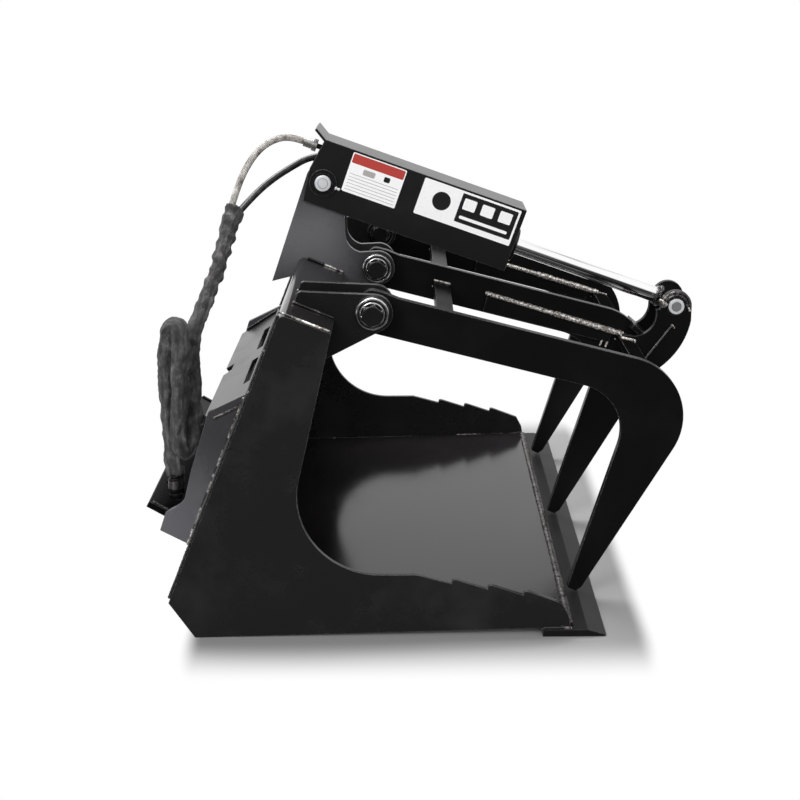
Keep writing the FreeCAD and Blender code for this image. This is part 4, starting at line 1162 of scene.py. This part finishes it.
@dataclass
class CylinderDress:
    """Barrel, guard, its two plain panels, fittings and the chrome rod."""

    finishes: Finishes
    beads: WeldTree
    line: CylinderLine = field(default_factory=CylinderLine)
    guard_face: float = -56.0
    enamelled: tuple[str, ...] = (
        "cylinder_barrel", "cylinder_base_tube", "rod_port_line", "guard_end_plate", "guard_bosses",
    )

    def block(
        self, start: float, end: float, low: float, high: float, layer: float,
        finish: bpy.types.Material, corner: float = 2.5,
    ) -> bpy.types.Object:
        """Make a thin block of film with round corners on the guard's near face.

        Args:
            start: Distance along the cylinder, in millimetres as all of these.
            end: The other end.
            low: Height of its lower edge.
            high: Height of its upper edge.
            layer: How far it stands off the guard.
            finish: Its material.
            corner: The radius of its corners.

        Returns:
            The block.
        """
        sides = ((end - corner, high - corner), (start + corner, high - corner))
        sides += ((start + corner, low + corner), (end - corner, low + corner))
        outline = []
        for quarter, (u, v) in enumerate(sides):
            for i in range(7):
                turn = math.radians(90.0 * quarter + 15.0 * i)
                outline.append((u + corner * math.cos(turn), v + corner * math.sin(turn)))
        verts = [self.line.at(u, self.guard_face - off, v) for off in (layer, -0.05) for u, v in outline]
        count = len(outline)
        faces = [tuple(range(count)), tuple(range(count, 2 * count))]
        faces += [(i, (i + 1) % count, (i + 1) % count + count, i + count) for i in range(count)]
        return dress(face_outwards(mesh_object("block", verts, faces, False)), finish)

    def films(self) -> None:
        """Lay the two plain panels, with blocks of colour and no lettering."""
        kit = self.finishes
        small = [
            (37.0, 145.0, -2.0, 75.0, 0.35, kit.white_film), (39.0, 143.0, 55.0, 73.0, 0.50, kit.red_film),
            (108.0, 120.0, 40.0, 50.0, 0.50, kit.black_film), (66.0, 90.0, 39.0, 50.0, 0.50, kit.grey_film),
        ]
        small += [(42.0, 140.0, 3.0 + 6.2 * i, 4.1 + 6.2 * i, 0.45, kit.grey_film, 0.4) for i in range(6)]
        large = [
            (182.0, 379.0, 3.0, 75.0, 0.35, kit.white_film), (261.0, 375.0, 14.0, 71.0, 0.45, kit.black_film),
            (208.0, 244.0, 24.0, 60.0, 0.45, kit.black_film, 17.9), (268.0, 366.0, 22.0, 28.0, 0.55, kit.white_film),
        ]
        large += [(268.0 + 36.5 * i, 293.0 + 36.5 * i, 41.0, 63.0, 0.55, kit.white_film) for i in range(3)]
        for name, rows in (("small_panel", small), ("large_panel", large)):
            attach(join(name, [self.block(*row) for row in rows]), Body.CYLINDER.value)
            LOG.info("%s: plain panel", name)

    def build(self) -> None:
        """Dress the nodes and add the details."""
        kit = self.finishes
        dress_nodes(dict.fromkeys(self.enamelled, kit.enamel))
        dress_nodes({
            "guard_shell": kit.cheek, "cylinder_gland": kit.fastener, "cylinder_piston": kit.steel,
            "cylinder_rod": kit.chrome, "rod_end_tube": kit.bar, "base_elbow": kit.zinc, "upper_fitting": kit.steel,
        })
        self.films()
        turns = [0.3 * i for i in range(22)]
        collar = [
            WeldRun([self.line.at(along, radius * math.cos(turn), radius * math.sin(turn)) for turn in turns], 9.0)
            for along, radius in ((698.0, 16.5), (705.0, 18.0))
        ]
        seams = [WeldRun([self.line.at(381.0, y, v) for v in (-45.0, 73.0)], 4.0) for y in (-50.0, 50.0)]
        self.beads.lay("rod_weld", collar, kit.eye_weld, 29, Body.ROD)
        self.beads.lay("guard_welds", seams, kit.painted_weld, 31, Body.CYLINDER)
        RoundPin(kit, "base_pin", place(-148.0, 0.0, 721.0), 63.5, Body.BUCKET, grease=True).build()
        LOG.info("cylinder dressed")


@dataclass
class HoseSet:
    """The two hoses, their cloth sleeve folded into a hank, and the couplers."""

    finishes: Finishes
    rings: RingTree
    hose: float = 0.013
    sleeve: float = 0.031
    upper: tuple[Point, ...] = (
        (-0.2340, -0.0140, 0.7952), (-0.2565, -0.0140, 0.8034), (-0.2859, -0.0185, 0.8023),
        (-0.3179, -0.0300, 0.7853), (-0.3436, -0.0492, 0.7524), (-0.3617, -0.0722, 0.7119),
        (-0.3724, -0.0990, 0.6750),
    )
    lower: tuple[Point, ...] = (
        (-0.1769, 0.0140, 0.7660), (-0.2209, 0.0140, 0.7640), (-0.2649, 0.0030, 0.7420),
        (-0.3029, -0.0240, 0.7200), (-0.3329, -0.0580, 0.6960), (-0.3559, -0.0970, 0.6730),
    )
    folded: tuple[Point, ...] = (
        (-0.3639, -0.0950, 0.6800), (-0.3769, -0.1310, 0.6300), (-0.3919, -0.1690, 0.5780),
        (-0.4119, -0.2080, 0.5290), (-0.4300, -0.2440, 0.4850), (-0.4370, -0.2560, 0.4300),
        (-0.4360, -0.2620, 0.3700), (-0.4370, -0.2680, 0.3100), (-0.4440, -0.2740, 0.2680),
        (-0.4560, -0.2860, 0.2520), (-0.4650, -0.3010, 0.2780), (-0.4570, -0.3050, 0.3500),
        (-0.4480, -0.3060, 0.4300), (-0.4450, -0.3040, 0.4840), (-0.4530, -0.2990, 0.5060),
        (-0.4700, -0.2890, 0.4950), (-0.4790, -0.2820, 0.4550), (-0.4800, -0.2800, 0.3900),
        (-0.4820, -0.2800, 0.3200), (-0.4790, -0.2830, 0.2600), (-0.4729, -0.2860, 0.2120),
    )
    cuffs: tuple[float, ...] = (0.006, 0.024, 0.672)

    def crumpled(self, along: float, turn: float) -> float:
        """Return the sleeve's radius, gathered and creased."""
        where = Vector((math.cos(turn) * 1.1, math.sin(turn) * 1.1, along * 42.0))
        fine = Vector((math.cos(turn) * 2.4 + 7.0, math.sin(turn) * 2.4, along * 110.0))
        long_fold = Vector((math.cos(turn) * 2.2 + 3.0, math.sin(turn) * 2.2, along * 7.0))
        gather = 0.0042 * noise.noise(where) + 0.0018 * noise.noise(fine) + 0.0044 * noise.noise(long_fold)
        upper = 1.0 / (1.0 + math.exp((along - 0.22) * 60.0))
        gather += 0.0017 * upper * math.cos(2.0 * math.pi * along / 0.027 + turn)
        flat = 1.0 + 0.13 * math.cos(2.0 * turn + along * 9.0)
        cuff = 0.0016 * sum(math.exp(-(((along - at) / 0.009) ** 2)) for at in self.cuffs)
        return min(max((self.sleeve / 2.0 - 0.0003) * flat + gather, 0.0125), 0.0187) + cuff

    def add_cord(self, piece: bpy.types.Object, line: list[Vector], **says: Any) -> None:
        """Log a skinned line's length."""
        length = line_length(line)
        LOG.info("%s: %.4f m", piece.name, length)

    def sleeve_piece(self) -> None:
        """Skin the folded route with cloth and end it in the couplers."""
        kit = self.finishes
        line = even_line(route_line(self.folded, "sleeve_route"), 0.0035)
        cloth = dress(tube("hose_sleeve_cloth", line, self.crumpled, 36, True), kit.cloth)
        profile = [
            (0.0, 8.0), (5.0, 9.0), (7.0, 12.6), (26.0, 12.6), (28.0, 10.6), (34.0, 10.6), (36.0, 12.2),
            (44.0, 12.2), (45.0, 11.0), (45.0, 6.0), (40.0, 5.2),
        ]
        down = Vector((0.0, 0.0, -1.0))
        parts = []
        for shift in (-0.014, 0.014):
            start = line[-1] + Vector((0.0, shift, 0.004))
            parts.append(dress(turned("coupler", start, down, profile), kit.shelf))
            parts.append(self.rings.row("knurl", start + down * 0.010, down * 0.013, 7, 12.5, 0.5, kit.dark_steel))
        couplers = join("quick_couplers", parts)
        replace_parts(couplers, "hose_couplers")
        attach(couplers, Body.BUCKET.value)
        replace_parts(cloth, "hose_sleeve", "hose_hank")
        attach(cloth, Body.BUCKET.value)
        self.add_cord(cloth, line, exit=self.folded[0], diameter=self.sleeve, far_end="connector",
                      stiffness="limp", lay="hanging", with_pieces=[couplers])

    def one_hose(self, name: str, node: str, route: tuple[Point, ...], finish: bpy.types.Material) -> None:
        """Skin one hose between the bucket and the cylinder."""
        line = even_line(route_line(route, name + "_route"), 0.003)
        piece = dress(tube(name, line, lambda along, turn: self.hose / 2.0, 24, False), finish)
        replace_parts(piece, node)
        route[-1]
        route[0]
        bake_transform(piece)
        self.add_cord(piece, line, exit=route[0], diameter=self.hose, far_end="object",
                      stiffness="medium", lay="loose")

    def build(self) -> None:
        """Make the hoses and the sleeve."""
        self.one_hose("upper_hose_braided", "upper_hose", self.upper, self.finishes.braid)
        self.one_hose("lower_hose_smooth", "lower_hose", self.lower, self.finishes.smooth_hose)
        self.sleeve_piece()


@dataclass
class Studio:
    """Camera, pale floor and soft light."""

    eye: Point = (-0.0330, -2.7506, 1.1074)
    pitch: float = 0.2967
    yaw: float = -0.0080
    roll: float = -0.0123
    lens: float = 63.15

    def camera(self) -> None:
        """Place the camera at the photograph's angle."""
        data = bpy.data.cameras.new("camera")
        data.lens = self.lens
        data.sensor_width = 36.0
        data.clip_end = 200.0
        made = linked("camera", data)
        level = math.cos(self.pitch)
        ahead = Vector((math.sin(self.yaw) * level, math.cos(self.yaw) * level, -math.sin(self.pitch)))
        right = Vector((math.cos(self.yaw), -math.sin(self.yaw), 0.0))
        over = right.cross(ahead)
        right_rolled = right * math.cos(self.roll) + over * math.sin(self.roll)
        over_rolled = over * math.cos(self.roll) - right * math.sin(self.roll)
        turn = Matrix((right_rolled, over_rolled, -ahead)).transposed()
        made.matrix_world = Matrix.Translation(Vector(self.eye)) @ turn.to_4x4()
        bpy.context.scene.camera = made

    def lamp(self, name: str, where: Point, target: Point, size: float, power: float) -> None:
        """Add one soft lamp."""
        data = bpy.data.lights.new(name, "AREA")
        data.shape = "SQUARE"
        data.size = size
        data.energy = power
        made = linked(name, data)
        made.location = where
        made.rotation_euler = (Vector(target) - Vector(where)).to_track_quat("-Z", "Y").to_euler()

    def world(self) -> None:
        """Make a world that is white to look at and plain to be lit by."""
        world = bpy.data.worlds.new("studio")
        world.use_nodes = True
        graph = Graph(world.node_tree)
        rays = graph.node("ShaderNodeLightPath", {}, {})
        seen = rays["Is Camera Ray"].larger(rays["Is Transmission Ray"])
        around = graph.node("ShaderNodeTexCoord", {}, {})["Generated"]
        ways = graph.node("ShaderNodeSeparateXYZ", {}, {"Vector": around})
        glossy = rays["Is Glossy Ray"] * (0.07 + 0.93 * ways[1].ramp(-0.30, 0.40).larger(ways[2].ramp(0.18, 0.50)))
        plain = (0.35 + 1.7 * (1.0 - ways[1].ramp(-0.95, -0.45))) * (1.0 - rays["Is Glossy Ray"])
        values = {"Color": WHITE, "Strength": seen.larger(glossy).larger(plain)}
        light = graph.node("ShaderNodeBackground", {}, values)[0]
        graph.node("ShaderNodeOutputWorld", {}, {"Surface": light})
        bpy.context.scene.world = world

    def floor(self) -> None:
        """Lay the pale floor."""
        corners = [Vector((40.0 * x, 40.0 * y, 0.0)) for x, y in ((-1, -1), (1, -1), (1, 1), (-1, 1))]
        floor = mesh_object("floor", corners, [(0, 1, 2, 3)], False)
        shade = Shade("pale_floor")
        rays = shade.node("ShaderNodeLightPath", {}, {})
        seen = rays["Is Camera Ray"].larger(rays["Is Transmission Ray"])
        glossy = rays["Is Glossy Ray"]
        spot = shade.node("ShaderNodeSeparateXYZ", {}, {"Vector": shade.where})
        across = (spot[1].size() - 0.53).larger(0.0)
        along = 4.2 * ((spot[0] + 0.025).size() - 0.372).larger(0.0)
        far = ((along * along + across * across) ** 0.5).ramp(0.02, 0.17)
        front = glossy * (1.0 - spot[1].ramp(-0.45, -0.10))
        values = {"Base Color": (0.36, 0.36, 0.36, 1.0), "Roughness": 0.9, "Specular IOR Level": 0.0}
        base = shade.node("ShaderNodeBsdfPrincipled", {}, values)[0]
        white = shade.node("ShaderNodeEmission", {}, {"Color": WHITE, "Strength": 1.0})[0]
        dim = shade.node("ShaderNodeEmission", {}, {"Color": WHITE, "Strength": 0.10})[0]
        open_floor = shade.node("ShaderNodeMixShader", {}, {0: far * seen.larger(glossy), 1: base, 2: white})[0]
        both = shade.node("ShaderNodeMixShader", {}, {0: front, 1: open_floor, 2: dim})[0]
        shade.node("ShaderNodeOutputMaterial", {}, {"Surface": both})
        dress(floor, shade.material)

    def build(self) -> None:
        """Make the whole studio."""
        self.camera()
        self.world()
        self.floor()
        self.lamp("overhead", (-0.45, 0.95, 3.0), (0.0, 0.0, 0.2), 2.0, 110.0)
        self.lamp("fill", (-1.6, -3.0, 2.4), (0.0, 0.0, 0.4), 1.2, 40.0)
        bpy.context.scene.view_settings.view_transform = "Standard"


def main() -> None:
    """Build every sub-assembly in order."""
    logging.basicConfig(level=logging.INFO, format="%(name)s %(message)s")
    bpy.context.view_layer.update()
    Studio().build()
    finishes = Finishes()
    beads = WeldTree()
    rings = RingTree()
    HoseSet(finishes, rings).build()
    BucketShellDress(finishes, beads).build()
    JawDress(finishes, beads).build()
    PivotBolts(finishes, rings).build()
    CylinderDress(finishes, beads).build()


if __name__ == "__main__":
    main()
